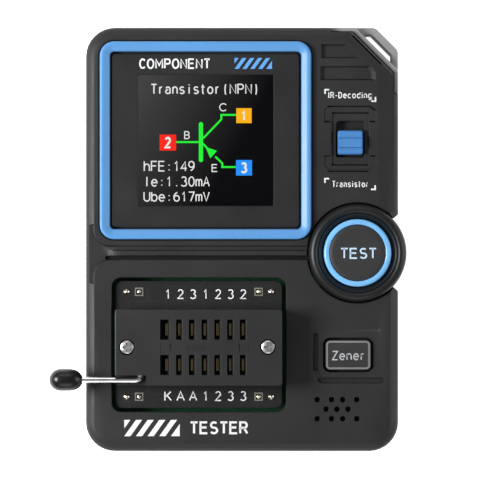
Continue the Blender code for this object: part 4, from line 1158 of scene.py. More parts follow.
def build_screen_frame():
    """The blue frame: a ridged band that slopes to a thin lip inside."""
    x0, x1, y0, y1, low, top = FRAME
    outer = rounded(x0, x1, y0, y1, FRAME_RADIUS)
    ridge = [
        (0.0, low), (0.0, top - 0.45), (0.06, top - 0.22), (0.18, top - 0.07), (0.34, top), (0.6, top - 0.03),
        (0.82, top - 0.07), (1.0, top - 0.13), (1.2, top - 0.24), (1.34, top - 0.31), (1.85, top - 0.48),
        (1.96, top - 0.58), (FRAME_BAND, top - 0.75), (FRAME_BAND, low),
    ]
    frame_ring = loft("screen_frame_fine", levels(outer, ridge, 12), ring=True)
    fit(frame_ring, "frame_blue", "casing", "screen_frame")


def build_panel():
    """The dark panel inside the frame, with its window."""
    low, top = BEZEL[4:]
    window = rounded(*grown(LENS, -LENS_MARGIN), 0.25)
    panel = slab("screen_bezel_fine", rounded(*grown(BEZEL, -0.12), 0.7), low, top, edge=0.15)
    panel = carve(panel, [cutter("window", window, low - 1.0, lip=0.16, top=top)])
    fit(panel, "panel_plastic", "casing", "screen_bezel")


def build_lens():
    """The clear lens under the window, with a ground edge."""
    x0, x1, y0, y1, low, top = LENS
    corners = rounded(x0, x1, y0, y1, 0.5)
    profile = [(0.12, low), (0.0, low + 0.12), (0.0, top - 0.12), (0.12, top), (0.2, top)]
    fit(loft("screen_lens_fine", levels(corners, profile, 4)), "lens_glass", "casing", "screen_lens")


def build_display():
    """The display module: its glass and the steel tray that holds it."""
    low, top = DISPLAY[4:]
    outer, inner = rounded(*DISPLAY[:4], 0.6), rounded(*grown(DISPLAY, -TRAY_WALL), 0.4)
    glass = slab("display_glass", inner, low + 0.8, top, edge=0.1)
    fit(glass, "display_glass", "casing")
    loops = levels(outer, [(0.0, low), (0.0, top - 0.05)])
    loops += levels(inner, [(-0.1, top - 0.05), (-0.1, low + 0.7), (4.0, low + 0.7), (4.0, low)])
    tray = loft("display_tray", loops, ring=True)
    fit(tray, "switch_steel", "casing", "display_module")


def polygon(name, points, z):
    """A thin flat print with a plain outline."""
    return prism(name, points, z, z + print_thickness())


DIAGRAM_BAR = (-8.23, 15.5, 23.5)
PIN_MARKS = (
    ("1", "lit_orange", (-1.15, 1.93, 23.3, 26.3)),
    ("2", "lit_red", (-16.5, -13.2, 17.8, 21.0)),
    ("3", "lit_blue", (-1.2, 2.0, 12.8, 15.9)),
)
LEAD_NAMES = (("C", (-4.6, -3.0, 25.65, 27.3)), ("B", (-11.6, -10.4, 20.1, 21.7)),
              ("E", (-6.1, -4.85, 13.5, 15.1)))
READINGS = (
    ("hFE:149", (-19.75, -9.45, 13.6, 15.75)),
    ("Ie:1.30mA", (-19.75, -6.45, 10.55, 12.65)),
    ("Ube:617mV", (-19.75, -6.45, 7.55, 9.6)),
)


def build_screen_content():
    """What the display shows: a transistor's symbol, its pins and three readings."""
    z = DISPLAY[5] + 0.03
    white = [
        words("title", "Transistor", (-18.3, -4.3, 29.1, 31.2), z, 0.26, 0.35, even=True),
        words("title_kind", "(NPN)", (-4.05, 3.55, 29.1, 31.2), z, 0.25, 0.4, even=True),
    ]
    white += [words(f"lead_{name}", name, box, z, 0.2) for name, box in LEAD_NAMES]
    white += [
        words(f"reading_{i}", text, box, z, 0.24, 0.3, even=True) for i, (text, box) in enumerate(READINGS)
    ]
    for text, finish_name, (x0, x1, y0, y1) in PIN_MARKS:
        mark = polygon(f"pin_mark_{text}", oblong(x0, x1, y0, y1), z)
        fit(mark, finish_name, "casing", slot="display_glass")
        middle, half = (x0 + x1) / 2, 0.6 if text == "1" else 0.72
        number = (middle - half, middle + half, y0 + 0.42, y1 - 0.42)
        white.append(words(f"pin_number_{text}", text, number, z + 0.04, 0.42))
    fit(merge("screen_words", white), "lit_white", "casing", slot="display_glass")
    x, y0, y1 = DIAGRAM_BAR
    green = [slab("symbol_bar", rounded(x - 0.43, x + 0.43, y0, y1, 0.4), z, z + print_thickness())]
    routes = (
        [(-13.15, 19.5), (x - 0.45, 19.5)],
        [(x + 0.45, 20.25), (-4.15, 24.05), (-4.15, 24.95), (-1.2, 24.95)],
        [(x + 0.45, 19.15), (-6.9, 18.2)],
        [(-5.35, 16.6), (-3.95, 15.25), (-3.95, 14.5), (-1.25, 14.5)],
    )
    green += [stroke(f"symbol_lead_{i}", route, SYMBOL_LINE, z) for i, route in enumerate(routes)]
    green.append(polygon("symbol_arrow", [(-7.35, 18.55), (-6.35, 16.25), (-5.0, 17.75)], z))
    fit(merge("screen_symbol", green), "lit_green", "casing", slot="display_glass")


def slanted_stripes(name, x0, x1, y0, y1, count, finish_name, z):
    """A band of slanted stripes, cut square at both ends."""
    height = y1 - y0
    lean = height * 0.72
    pitch = (x1 - x0) / (count + 0.75)
    width = pitch * 0.52
    first = [(x0, y0), (x0 + width, y0), (x0 + width + lean, y1), (x0 + lean, y1)]
    row = in_row(name, polygon("stripe", first, z), count, (pitch, 0.0, 0.0), finish(finish_name))
    head = polygon("stripe_head", [(x0, y1), (x0, y1 - width / lean * height), (x0 + width, y1)], z)
    end = x0 + pitch * count
    tail = polygon("stripe_tail", [(end, y0), (x1, y0), (x1, y0 + (x1 - end) / lean * height)], z)
    fit(merge(name, [row, head, tail]), finish_name, "casing", slot="print_white")


def build_panel_print():
    """The generic word and the blue stripes over the window."""
    z = BEZEL[5] + PRINT_LIFT / 2
    word = words("panel_word", "COMPONENT", (-20.6, -6.3, 34.1, 36.2), z, 0.32, 0.45)
    fit(word, "print_white", "casing")
    slanted_stripes("panel_stripes", -1.5, 6.0, 34.1, 36.3, 4, "print_blue", z)


# ---- switch and buttons


KNOB_BODY = (19.15, 24.15, 16.95, 21.8)
CAP_RADIUS = 5.6
FLANGE_RADIUS = 7.4


def build_mode_switch():
    """The blue slide knob: a sliding plate, a body and a raised grip bar across it."""
    x0, x1, y0, y1 = KNOB_BODY
    low, top = KNOB[4:]
    plate = slab("knob_plate", rounded(*KNOB[:4], 0.5), low, low + 1.0, edge=0.1)
    body_top = top - 0.75
    body = loft("knob_body", levels(rounded(x0, x1, y0, y1, 0.45), [
        (0.0, low + 0.5), (0.0, body_top - 0.5), (0.08, body_top - 0.22), (0.3, body_top), (0.4, body_top),
    ]))
    middle = (y0 + y1) / 2
    lower = oblong(x0 + 0.12, x1 - 0.12, middle - 1.1, middle + 0.95)
    upper = oblong(x0 + 0.25, x1 - 0.25, middle - 0.9, middle + 0.72)
    grip = loft("knob_grip", [at_height(lower, body_top - 0.4), at_height(lower, body_top + 0.3),
                              at_height(upper, top)])
    fit(plate, "casing_plastic", "mode_switch")
    knob = carve(body, [grip], "UNION")
    fit(knob, "knob_blue", "mode_switch", "switch_knob")


def build_test_collar():
    """The collar round the TEST button: a domed band, a step and a sloped well."""
    x, y = COLLAR_X, COLLAR_Y
    radius = COLLAR[1] - COLLAR_X
    top = COLLAR[5]
    profile = [
        (radius, COLLAR[4]), (radius, top - 1.35), (radius - 0.06, top - 0.95), (radius - 0.22, top - 0.6),
        (radius - 0.5, top - 0.28), (radius - 0.85, top - 0.08), (radius - 1.15, top),
        (radius - 1.4, top - 0.05), (radius - 1.68, top - 0.22), (radius - 1.8, top - 0.45),
        (radius - 1.86, top - 0.95), (radius - 1.92, top - 1.0), (radius - 2.0, top - 0.86),
        (radius - 2.35, top - 1.1), (radius - 2.66, top - 1.36), (radius - 2.74, top - 2.0),
        (radius - 2.74, 19.8), (7.8, 19.8), (7.8, COLLAR[4]),
    ]
    collar = turned("test_button_collar_fine", profile, x, y, steps=112, ring=True)
    fit(collar, "collar_plastic", "casing", "test_button_collar")


def build_test_button():
    """The TEST cap, its light ring and its lettering."""
    x, y = COLLAR_X, COLLAR_Y
    radius, flange = CAP_RADIUS, FLANGE_RADIUS
    low, top = CAP[4:]
    cap_profile = [
        (flange - 0.05, low), (flange, low + 0.1), (flange, low + 1.2), (flange - 0.1, low + 1.3),
        (radius, low + 1.3), (radius, top - 0.4), (radius - 0.08, top - 0.16), (radius - 0.3, top - 0.04),
        (radius - 0.9, top - 0.05), (2.5, top - 0.1), (0.6, top - 0.12),
    ]
    cap = turned("test_button_cap_fine", cap_profile, x, y, steps=96)
    fit(cap, "button_plastic", "test_button", "test_button_cap")
    inner, outer = CAP_RADIUS + 0.06, (RING[1] - RING[0]) / 2
    z0, z1 = RING[4:]
    ring_profile = [(inner, z0), (outer, z0), (outer, z1 - 0.4), (outer - 0.12, z1 - 0.15),
                    (outer - 0.34, z1 - 0.02), (inner + 0.3, z1 - 0.02), (inner + 0.08, z1 - 0.12),
                    (inner, z1 - 0.3)]
    ring = turned("test_button_ring_fine", ring_profile, x, y, steps=96, ring=True)
    fit(ring, "ring_blue", "test_button", "test_button_ring")
    box = (x - 3.5, x + 3.87, y - 1.2, y + 1.02)
    label = words("test_label", "TEST", box, top - 0.1, 0.32, 0.4, thickness=0.05)
    fit(label, "print_light_blue", "test_button", slot="print_white")


def build_push_button():
    """The square-cornered push button: its cap, light border and lettering."""
    low, top = PUSH[4:]
    shape = rounded(PUSH_X - 4.55, PUSH_X + 4.55, PUSH_Y - 3.0, PUSH_Y + 3.0, 0.95)
    cap = loft("push_button_body", levels(shape, [
        (0.0, low + 0.6), (0.0, top - 0.3), (0.1, top - 0.08), (0.22, top), (0.5, top), (0.62, top - 0.12),
        (0.8, top - 0.14),
    ], 5))
    flange = slab("push_flange", rounded(*PUSH[:4], 0.4), low, low + 1.1, edge=0.1)
    cap = carve(flange, [cap], "UNION")
    cap.name = "zener_button_cap_fine"
    fit(cap, "button_plastic", "zener_button", "zener_button_cap")
    z = top - 0.02
    section = [(0.16, z), (0.16, z + 0.04), (0.54, z + 0.04), (0.54, z)]
    rim = loft("zener_button_rim", levels(shape, section, 5), ring=True)
    fit(rim, "rim_grey", "zener_button", slot="button_plastic")
    box = (PUSH_X - 3.25, PUSH_X + 3.35, PUSH_Y - 1.05, PUSH_Y + 0.85)
    label = words("zener_label", "Zener", box, top - 0.13, 0.25, thickness=0.05)
    fit(label, "print_grey", "zener_button", slot="print_white")


# ---- socket


CONTACT_COUNT = 7
CONTACT_PITCH = 2.54
FIRST_CONTACT = -15.04
CONTACT_ROWS = (-24.99, -17.95)
SLOT_HALF_LENGTH = 2.02
WIDE_SLOT = 1.25
NARROW_SLOT = 0.62
HEADER_ENDS = (("upper", -10.5), ("lower", -31.5))
HEADER_SIDES = (("left", -23.14, -20.6), ("right", 5.86, 3.34))
LEVER_NOTCH = (-19.1, -27.02)
NOTCH_FLOOR = 25.0
HEAD_RADIUS = 1.35
LEVER_Y = -28.0
LEVER_BEND = 1.3
LEVER_RADIUS = 0.62
LEAF_THICKNESS = 0.14
LEAF_FLOOR = 21.2
PAD_HALF = 0.86
PAD_HOLE_HALF = 0.56
NUMBER_START = -14.8
NUMBER_PITCH = 2.51


def contact_spots(z=0.0):
    """The fourteen contact places, row by row."""
    return [(FIRST_CONTACT + CONTACT_PITCH * i, y, z) for y in CONTACT_ROWS for i in range(CONTACT_COUNT)]


def build_socket_board():
    """The black board in the bay, with soft edges and its pin holes."""
    board = slab("socket_board_fine", rounded(*BOARD[:4], 1.4), BOARD[4], BOARD[5], edge=0.08)
    hole = [(0.5, BOARD[4] - 1.0), (0.5, BOARD[5] + 1.0)]
    spots = [(x, y, 0.0) for _, y in HEADER_ENDS for side in HEADER_SIDES for x in side[1:]]
    drills = on_spots("pin_holes", turned("pin_hole", hole, 0.0, 0.0, steps=16), spots)
    tail = straight("tail_hole", rounded(-0.5, 0.5, -0.6, 0.6, 0.1), BOARD[4] - 1.0, BOARD[5] + 1.0, 2)
    tails = on_spots("tail_holes", tail, contact_spots())
    board = carve(board, [drills, tails])
    fit(board, "socket_board_black", "casing", "socket_board")


def build_headers():
    """The four headers: a bar, two pins with solder domes, one square pad and one round."""
    z = BOARD[5] + 0.02
    for end, y in HEADER_ENDS:
        for side, round_x, square_x in HEADER_SIDES:
            name = f"header_{end}_{side}"
            x0, x1, y0, y1, low, _ = limits(name)
            pieces = [slab("bar", rounded(x0, x1, y0, y1, 0.25), low, BOARD[4] - 0.4, edge=0.15)]
            for x in (round_x, square_x):
                pin = [(0.32, BOARD[4] - 0.35), (0.32, z + 0.3), (0.38, z + 0.32), (0.3, z + 0.52),
                       (0.12, z + 0.62)]
                pieces.append(turned("pin", pin, x, y, steps=20))
            dome = [(0.4, z), (0.66, z), (0.64, z + 0.08), (0.55, z + 0.22), (0.4, z + 0.3)]
            pieces.append(turned("dome", dome, round_x, y, steps=32, ring=True))
            spot = (square_x, square_x, y, y)
            pad = levels(rounded(*grown(spot, PAD_HALF), 0.08), [(0.0, z), (0.03, z + 0.1)], 3)
            pad += levels(rounded(*grown(spot, PAD_HOLE_HALF), 0.08), [(-0.03, z + 0.1), (0.0, z)], 3)
            pieces.append(loft("pad", pad, ring=True))
            fit(merge(f"{name}_fine", pieces), "pin_brass", "casing", name)


def build_board_print():
    """The pin numbers printed above and below the socket."""
    z = BOARD[5] + PRINT_LIFT / 2
    marks = []
    for row, (text, y) in enumerate((("1231232", -10.96), ("KAA1233", -31.36))):
        for i, letter in enumerate(text):
            x = NUMBER_START + NUMBER_PITCH * i
            half = {"1": 0.55, "K": 0.76, "A": 0.84}.get(letter, 0.68)
            marks.append(words(f"number_{row}_{i}", letter, (x - half, x + half, y - 1.0, y + 1.0), z, 0.25))
    fit(merge("socket_numbers", marks), "print_white", "casing")


def build_socket_base():
    """The socket's lower block with its wells."""
    x0, x1, y0, y1, low, top = BASE
    profile = [(0.15, low), (0.0, low + 0.15), (0.0, top - 0.15), (0.15, top)]
    base = loft("zif_base_fine", levels(rounded(x0, x1, y0, y1, 0.5), profile, 4))
    well = straight("well", rounded(-0.55, 0.55, -1.5, 1.5, 0.1), low - 1.0, top + 1.0, 2)
    wells = on_spots("wells", well, contact_spots())
    drills = [post(f"bore_{i}", x, y, 1.0, low - 1.0, top + 1.0) for i, (x, y) in enumerate(socket_screws())]
    base = carve(base, [wells] + drills)
    fit(base, "socket_plastic", "casing", "zif_base")


def socket_screws():
    """The places of the socket's two screws."""
    spots = []
    for side in ("left", "right"):
        x0, x1, y0, y1 = limits(f"zif_screw_{side}")[:4]
        spots.append(((x0 + x1) / 2, (y0 + y1) / 2))
    return spots


def slot_cutter(x, y, left, top):
    """One contact slot: upright on its left, sloped on its right, with broken ends."""
    low = top - 1.9
    ends = SLOT_HALF_LENGTH
    floor = oblong(x - left, x + 0.12, y - ends + 0.1, y + ends - 0.1)
    rim = oblong(x - left, x + 0.6, y - ends, y + ends)
    lip = [(x - left, y - ends), (x + 0.72, y - ends - 0.03), (x + 0.72, y + ends + 0.03),
           (x - left, y + ends)]
    return loft("slot", [at_height(floor, low - 2.0), at_height(floor, low), at_height(rim, top - 0.1),
                         at_height(lip, top), at_height(lip, top + 1.0)])


def build_socket_cover():
    """The socket's cover: one tall block with slots, a notch for the lever and a ribbed bar."""
    x0, x1, y0, y1, low, top = COVER
    corners = rounded(x0, x1, y0, y1, 0.5)
    cover = loft("zif_cover_fine", levels(corners, [(0.1, low), (0.0, low + 0.1)] + soft_edge(0.0, top, 0.28),
                                          5))
    notch_x, notch_y = LEVER_NOTCH
    notch = straight("notch", rounded(x0 - 2.0, notch_x, y0 - 2.0, notch_y, 0.15), NOTCH_FLOOR, top + 2.0, 3)
    room = straight("room", rounded(-19.5, 2.0, -26.6, -15.1, 0.2), low - 1.0, top - 1.5, 2)
    channel = straight("channel", rounded(-20.85, -19.0, -27.6, -15.1, 0.1), low - 1.0, 26.95, 2)
    cuts = [notch, room, channel]
    for x, y, _ in contact_spots():
        cuts.append(slot_cutter(x, y, WIDE_SLOT if x == FIRST_CONTACT else NARROW_SLOT, top))
    seat, mouth = HEAD_RADIUS + 0.22, HEAD_RADIUS + 0.3
    bore = [(1.0, low - 1.0), (1.0, top - 1.4), (seat, top - 1.4), (seat, top - 0.08),
            (mouth, top + 0.01), (mouth, top + 1.0)]
    cuts += [turned(f"head_seat_{i}", bore, x, y, steps=48) for i, (x, y) in enumerate(socket_screws())]
    cover = carve(cover, cuts + bar_cutters(top))
    fit(cover, "socket_plastic", "casing", "zif_cover")


def bar_cutters(top):
    """Fine lines that draw the bar between the two rows: its border, two marks and its ribs."""
    left, right, low, high = -16.3, 1.45, -22.6, -20.45
    section = [(0.0, top - 0.08), (0.0, top + 0.5), (0.14, top + 0.5), (0.14, top - 0.08)]
    border = levels(rounded(left, right, low, high, 0.2), section, 3)
    cuts = [loft("bar_border", border, ring=True)]
    for i, x in enumerate((-14.3, -0.56)):
        cuts.append(straight(f"bar_mark_{i}", rounded(x - 0.09, x + 0.09, low + 0.35, high - 0.3, 0.05),
                             top - 0.3, top + 1.0, 2))
    rib = straight("rib", rounded(-10.9, -10.8, low + 0.4, high - 0.35, 0.03), top - 0.12, top + 1.0, 2)
    cuts.append(in_row("ribs", rib, 8, (0.5, 0.0, 0.0)))
    return cuts


def build_socket_screws():
    """The socket's two cross-head screws, domed, in their seats."""
    top = COVER[5] - 0.12
    for side, (x, y) in zip(("left", "right"), socket_screws()):
        name = f"zif_screw_{side}"
        low = limits(name)[4]
        profile = [
            (0.3, low), (0.75, low + 0.5), (0.75, top - 1.15), (HEAD_RADIUS, top - 1.15),
            (HEAD_RADIUS, top - 0.3), (HEAD_RADIUS - 0.06, top - 0.16), (HEAD_RADIUS - 0.25, top - 0.06),
            (0.6, top), (0.1, top),
        ]
        screw = carve(turned(f"{name}_fine", profile, x, y, steps=48),
                      [cross_recess("driver", x, y, HEAD_RADIUS, top - 0.7, top + 0.5)])
        fit(screw, "screw_steel", "casing", name)


def build_contacts():
    """The fourteen spring contacts: a folded strip with flared lips and a tail."""
    names = [f"zif_contact_{i}" for i in range(1, 2 * CONTACT_COUNT + 1)]
    x0, x1, y0, y1, low, high = limits(names[0])
    half_x, half_y = (x1 - x0) / 2, (y1 - y0) / 2
    thick, floor = LEAF_THICKNESS, LEAF_FLOOR
    side = [(-half_x, high), (-half_x + thick, high), (-half_x + 0.3, high - 1.2),
            (-half_x + thick, high - 2.2), (-half_x + thick, floor + thick), (half_x - thick, floor + thick),
            (half_x - thick, high - 2.2), (half_x - 0.3, high - 1.2), (half_x - thick, high), (half_x, high),
            (half_x - 0.3 + thick, high - 1.2), (half_x, high - 2.2), (half_x, floor), (-half_x, floor),
            (-half_x, high - 2.2), (-half_x + 0.3 - thick, high - 1.2)]
    strip = loft("leaf", [[(x, y, z) for x, z in side] for y in (-half_y, half_y)])
    tail = straight("tail", rounded(-0.25, 0.25, -0.3, 0.3, 0.05), low, floor + 0.05, 2)
    contact = carve(strip, [tail], "UNION")
    contacts = on_spots("zif_contacts_fine", contact, contact_spots(), finish("contact_brass"))
    fit(contacts, None, "casing", *names, slot="contact_brass")


def build_lever():
    """The steel lever: the rod along the left, its bend, and the shaft in the socket."""
    x, z = LEVER_AXIS.x, LEVER_AXIS.z
    y, bend = LEVER_Y, LEVER_BEND
    far = LEVER_KNOB[0] + 3.0
    steps = 10
    route = [(far, y, z), ((far + x) / 2, y, z)]
    for k in range(steps + 1):
        a = math.radians(-90 + 90 * k / steps)
        route.append((x - bend + bend * math.cos(a), y + bend + bend * math.sin(a), z))
    route.append((x, LEVER[3], z))
    rod = tube("zif_lever_fine", route, LEVER_RADIUS)
    fit(rod, "lever_steel", "lever", "zif_lever")


def along_x(name, profile, y, z):
    """A profile of (x, radius) turned about an axis along X."""
    loops = [[(x, y + radius * u, z + radius * v) for u, v in circle(48)] for x, radius in profile]
    return loft(name, loops)


def build_lever_knob():
    """The moulded black grip on the lever's end."""
    x0, x1 = LEVER_KNOB[0], LEVER_KNOB[1]
    radius = (LEVER_KNOB[3] - LEVER_KNOB[2]) / 2
    y, z = (LEVER_KNOB[2] + LEVER_KNOB[3]) / 2, (LEVER_KNOB[4] + LEVER_KNOB[5]) / 2
    steps = 10
    left = [(x0 + radius * 1.05 * (1 - math.cos(math.radians(a))), radius * math.sin(math.radians(a)))
            for a in [9 * k + 3 for k in range(steps)]]
    middle = (x0 + x1) / 2
    shoulder = [(middle - 0.3, radius), (middle + 0.8, radius * 0.99), (middle + 1.7, radius * 0.93),
                (x1 - 0.95, radius * 0.8), (x1 - 0.45, radius * 0.63), (x1 - 0.15, radius * 0.45),
                (x1, radius * 0.36)]
    grip = along_x("zif_lever_knob_fine", left + shoulder, y, z)
    fit(grip, "lever_knob_black", "lever", "zif_lever_knob")


# ---- printing, port and inner parts


CORNER_MARKS = ((16.46, 30.08, 1), (26.84, 27.5, -1), (16.44, 12.3, 1), (26.78, 9.86, -1))


def corner_mark(name, x, y, side, z):
    """An L-shaped corner mark; side is 1 at the upper left and -1 at the lower right."""
    arm, width = 0.98, 0.3
    bend_x, bend_y = x + side * width / 2, y - side * width / 2
    return stroke(name, [(bend_x, y - side * arm), (bend_x, bend_y), (x + side * arm, bend_y)], width, z)


def build_face_print():
    """The labels, corner marks, stripes and generic word printed on the face."""
    z = FACE + PRINT_LIFT / 2
    pieces = [
        words("label_upper", "IR-Decoding", (17.15, 26.0, 28.2, 29.5), z, 0.19, 0.5),
        words("label_lower", "Transistor", (18.0, 25.3, 10.42, 11.72), z, 0.19, 0.55),
    ]
    pieces += [corner_mark(f"mark_{i}", *spot, z) for i, spot in enumerate(CORNER_MARKS, 1)]
    fit(merge("face_labels", pieces), "print_white", "casing")
    word = words("face_word", "TESTER", (-10.5, 1.25, -38.98, -36.38), z, 0.42, 0.42)
    fit(word, "print_white", "casing")
    slanted_stripes("face_stripes", -23.54, -12.46, -39.35, -36.1, 4, "print_white", z)


def build_port():
    """The charging port: a drawn steel shell with its tongue."""
    x0, x1, y0, y1, z0, z1 = PORT
    ring = rounded(x0, x1, z0, z1, (z1 - z0) / 2 - 0.05)
    loops = [[(x, y, z) for x, z in outline(ring, inset, 6)]
             for y, inset in ((y1, 0.0), (y0 + 0.08, 0.0), (y0, 0.08), (y0 + 0.08, 0.28), (y1 - 0.6, 0.3))]
    shell = loft("port_shell", loops)
    fit(shell, "port_steel", "casing", "usb_port")
    middle = (z0 + z1) / 2
    tongue = rounded(x0 + 1.2, x1 - 1.2, middle - 0.33, middle + 0.33, 0.1)
    tongue_loops = [[(x, y, z) for x, z in outline(tongue, inset, 2)]
                    for y, inset in ((y1 - 0.58, 0.0), (y0 + 0.8, 0.0), (y0 + 0.7, 0.1))]
    fit(loft("port_tongue", tongue_loops), "inner_plastic", "casing")


def build_ir_window():
    """The smoked window over the infrared receiver."""
    x0, x1, y0, y1, low, top = IR_WINDOW
    corners = [(x0, y0, 0.3), (x1, y0, 0.2), (x1, y1 - 1.0, 0.2), (x1 - 0.75, y1, 0.2), (x0, y1, 0.3)]
    window = slab("ir_window_fine", corners, low, top, edge=0.08)
    fit(window, "ir_filter", "casing", "ir_window")


INNER_FINISHES = {
    "display_ribbon": "ribbon_film", "switch_body": "switch_steel", "switch_stem": "inner_plastic",
    "test_switch_body": "switch_steel", "test_switch_plunger": "inner_plastic",
    "zener_switch_body": "switch_steel", "zener_switch_plunger": "inner_plastic",
    "main_board": "circuit_board", "processor_chip": "inner_plastic", "zif_slider": "socket_plastic",
    "battery": "battery_wrap", "buzzer": "inner_plastic", "ir_receiver": "inner_plastic",
}


def finish_inner_parts():
    """Give the carried-over inner nodes their finishes."""
    for node_name, finish_name in INNER_FINISHES.items():
        wear_finish(frame["nodes"][node_name], finish_name)


# ---- stage


CAMERA_AIM = (-0.0004, -0.00012)
CAMERA_HEIGHT = 1.2
LENS_MM = 450.0
LIGHTS = (
    ("key_light", (-0.31, 0.01, 0.29), 0.18, 2.3),
    ("fill_light", (0.66, 0.05, 0.34), 0.5, 1.9),
    ("back_light", (-0.05, 0.7, 0.55), 0.5, 1.1),
    ("front_light", (0.0, -0.7, 0.5), 0.5, 1.2),
)
SKY_STRENGTH = 0.2


def build_stage():
    """The floor, the soft lights and the camera over the face."""
    bpy.ops.mesh.primitive_plane_add(size=6.0)
    floor = bpy.context.object
    floor.name = "floor"
    wear_finish(floor, "floor")
    scene = bpy.context.scene
    scene.view_settings.view_transform = "Standard"
    world = bpy.data.worlds.new("studio")
    scene.world = world
    world.use_nodes = True
    sky = world.node_tree.nodes["Background"]
    sky.inputs["Color"].default_value = (1.0, 1.0, 1.0, 1.0)
    sky.inputs["Strength"].default_value = SKY_STRENGTH
    for name, place, size, power in LIGHTS:
        lamp = bpy.data.lights.new(name, "AREA")
        lamp.shape = "DISK"
        lamp.size = size
        lamp.energy = power
        holder = new_object(name, lamp)
        holder.location = place
        holder.rotation_euler = (-Vector(place)).to_track_quat("-Z", "Y").to_euler()
    camera = bpy.data.cameras.new("camera")
    camera.lens = LENS_MM
    camera.clip_end = 10.0
    scene.camera = new_object("camera", camera)
    scene.camera.location = (*CAMERA_AIM, FACE * MM + CAMERA_HEIGHT)


# ---- add-on


def colour_property(name, description, default):
    """A colour on the panel."""
    return FloatVectorProperty(
        name=name, description=description, default=default, subtype="COLOR", size=3, min=0.0, max=1.0,
    )


class TesterColours(bpy.types.PropertyGroup):
    """The colours of the tester's mouldings."""

    casing: colour_property("Casing", "Dark plastic of both casing halves", (0.016, 0.016, 0.0165))
    guard: colour_property("Guard", "Grey plastic of the lanyard guard", (0.29, 0.292, 0.295))
    blue: colour_property("Frame", "Blue of the screen's frame", (0.084, 0.268, 0.575))
    knob: colour_property("Knob", "Blue of the mode switch's knob", (0.06, 0.21, 0.5))
    # This colour also feeds the ring's painted glow.
    ring: colour_property("Blue ring", "Blue of the ring round the TEST button", (0.16, 0.42, 0.75))
    panel: colour_property("Panel", "Dark panel round the window", (0.014, 0.014, 0.015))
    button: colour_property("Buttons", "Dark grey of both button caps", (0.026, 0.026, 0.027))
    collar: colour_property("Collar", "Dark plastic of the TEST button's collar", (0.0085, 0.0085, 0.009))
    socket: colour_property("Socket", "Black plastic of the lever socket", (0.014, 0.014, 0.015))
    board: colour_property("Socket board", "Solder mask of the board under the socket", (0.012, 0.012, 0.013))


def length_property(name, description, millimetres):
    """A length on the panel, held in metres."""
    return FloatProperty(name=name, description=description, default=millimetres * MM, min=0.0,
                         precision=5, unit="LENGTH")


class TesterSizes(bpy.types.PropertyGroup):
    """The sizes of the casing's relief and printing."""

    groove_depth: length_property("Groove depth", "Depth of the deep groove across the face", 1.5)
    recess_depth: length_property("Recess depth", "Depth of the slant-ended recesses", 0.75)
    hole_diameter: length_property("Sound hole", "Diameter of each sound hole", 1.1)
    print_thickness: length_property("Print thickness", "Thickness of the printed marks", 0.03)


class TESTER_OT_front_shell(bpy.types.Operator):
    """Build the front half of the casing"""

    bl_idname = "tester.front_shell"
    bl_label = "Front shell"

    def execute(self, context):
        build_front_shell()
        build_painted_groove_shade()
        return {"FINISHED"}


class TESTER_OT_rear_shell(bpy.types.Operator):
    """Build the back half of the casing and its screws"""

    bl_idname = "tester.rear_shell"
    bl_label = "Rear shell and screws"

    def execute(self, context):
        build_rear_shell()
        build_housing_screws()
        return {"FINISHED"}


class TESTER_OT_guard(bpy.types.Operator):
    """Build the lanyard guard on the chamfered corner"""

    bl_idname = "tester.guard"
    bl_label = "Lanyard guard"

    def execute(self, context):
        build_guard()
        return {"FINISHED"}


class TESTER_OT_screen(bpy.types.Operator):
    """Build the blue frame, the panel, the lens and the display"""

    bl_idname = "tester.screen"
    bl_label = "Screen"

    def execute(self, context):
        build_screen_frame()
        build_panel()
        build_lens()
        build_display()
        return {"FINISHED"}


class TESTER_OT_screen_content(bpy.types.Operator):
    """Build the lit symbol and readings on the display"""

    bl_idname = "tester.screen_content"
    bl_label = "Screen content"

    def execute(self, context):
        build_screen_content()
        return {"FINISHED"}


class TESTER_OT_mode_switch(bpy.types.Operator):
    """Build the blue slide knob"""

    bl_idname = "tester.mode_switch"
    bl_label = "Mode switch"

    def execute(self, context):
        build_mode_switch()
        return {"FINISHED"}


class TESTER_OT_test_button(bpy.types.Operator):
    """Build the TEST button and its collar"""

    bl_idname = "tester.test_button"
    bl_label = "TEST button"

    def execute(self, context):
        build_test_collar()
        build_test_button()
        return {"FINISHED"}


class TESTER_OT_push_button(bpy.types.Operator):
    """Build the square-cornered push button"""

    bl_idname = "tester.push_button"
    bl_label = "Push button"

    def execute(self, context):
        build_push_button()
        return {"FINISHED"}


class TESTER_OT_socket_board(bpy.types.Operator):
    """Build the socket's board with its headers and numbers"""

    bl_idname = "tester.socket_board"
    bl_label = "Socket board"

    def execute(self, context):
        build_socket_board()
        build_headers()
        build_board_print()
        return {"FINISHED"}


class TESTER_OT_socket(bpy.types.Operator):
    """Build the lever socket with its contacts and screws"""

    bl_idname = "tester.socket"
    bl_label = "Lever socket"

    def execute(self, context):
        build_socket_base()
        build_socket_cover()
        build_socket_screws()
        build_contacts()
        return {"FINISHED"}


class TESTER_OT_lever(bpy.types.Operator):
    """Build the socket's lever and its grip"""

    bl_idname = "tester.lever"
    bl_label = "Lever"

    def execute(self, context):
        build_lever()
        build_lever_knob()
        return {"FINISHED"}


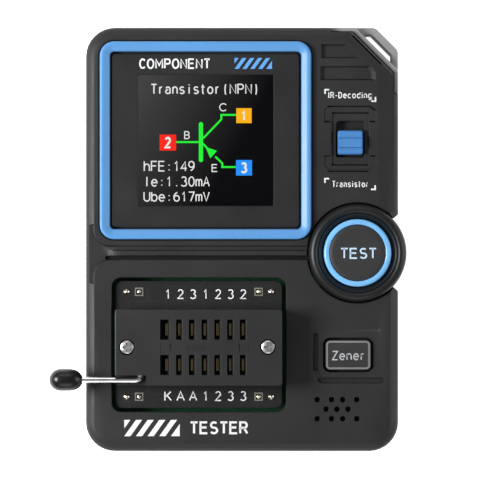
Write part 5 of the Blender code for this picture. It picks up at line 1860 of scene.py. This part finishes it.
class TESTER_OT_printing(bpy.types.Operator):
    """Print the labels, marks and stripes"""

    bl_idname = "tester.printing"
    bl_label = "Printing"

    def execute(self, context):
        build_panel_print()
        build_face_print()
        return {"FINISHED"}


class TESTER_OT_fittings(bpy.types.Operator):
    """Build the charging port and the infrared window, and finish the inner parts"""

    bl_idname = "tester.fittings"
    bl_label = "Port, window and inner parts"

    def execute(self, context):
        build_port()
        build_ir_window()
        finish_inner_parts()
        return {"FINISHED"}


class TESTER_OT_stage(bpy.types.Operator):
    """Set up the floor, the soft lights and the camera"""

    bl_idname = "tester.stage"
    bl_label = "Stage"

    def execute(self, context):
        build_stage()
        return {"FINISHED"}


OPERATORS = (
    TESTER_OT_stage, TESTER_OT_front_shell, TESTER_OT_rear_shell, TESTER_OT_guard, TESTER_OT_screen,
    TESTER_OT_screen_content, TESTER_OT_mode_switch, TESTER_OT_test_button, TESTER_OT_push_button,
    TESTER_OT_socket_board, TESTER_OT_socket, TESTER_OT_lever, TESTER_OT_printing, TESTER_OT_fittings,
)


class TESTER_PT_panel(bpy.types.Panel):
    """The tester's sizes, colours and building steps"""

    bl_idname = "TESTER_PT_panel"
    bl_label = "Component tester"
    bl_space_type = "VIEW_3D"
    bl_region_type = "UI"
    bl_category = "Tester"

    def draw(self, context):
        for group in (sizes(), colours()):
            box = self.layout.box()
            for name in group.__annotations__:
                box.prop(group, name)
        for operator in OPERATORS:
            self.layout.operator(operator.bl_idname)


CLASSES = (TesterColours, TesterSizes, *OPERATORS, TESTER_PT_panel)


def register():
    """Add the classes and the scene's settings."""
    for cls in CLASSES:
        bpy.utils.register_class(cls)
    bpy.types.Scene.tester_colours = PointerProperty(type=TesterColours)
    bpy.types.Scene.tester_sizes = PointerProperty(type=TesterSizes)


def unregister():
    """Take the classes and the scene's settings away."""
    del bpy.types.Scene.tester_sizes
    del bpy.types.Scene.tester_colours
    for cls in reversed(CLASSES):
        bpy.utils.unregister_class(cls)


def main():
    """Build every piece in order."""
    register()
    for operator in OPERATORS:
        group, name = operator.bl_idname.split(".")
        getattr(getattr(bpy.ops, group), name)()


if __name__ == "__main__":
    main()
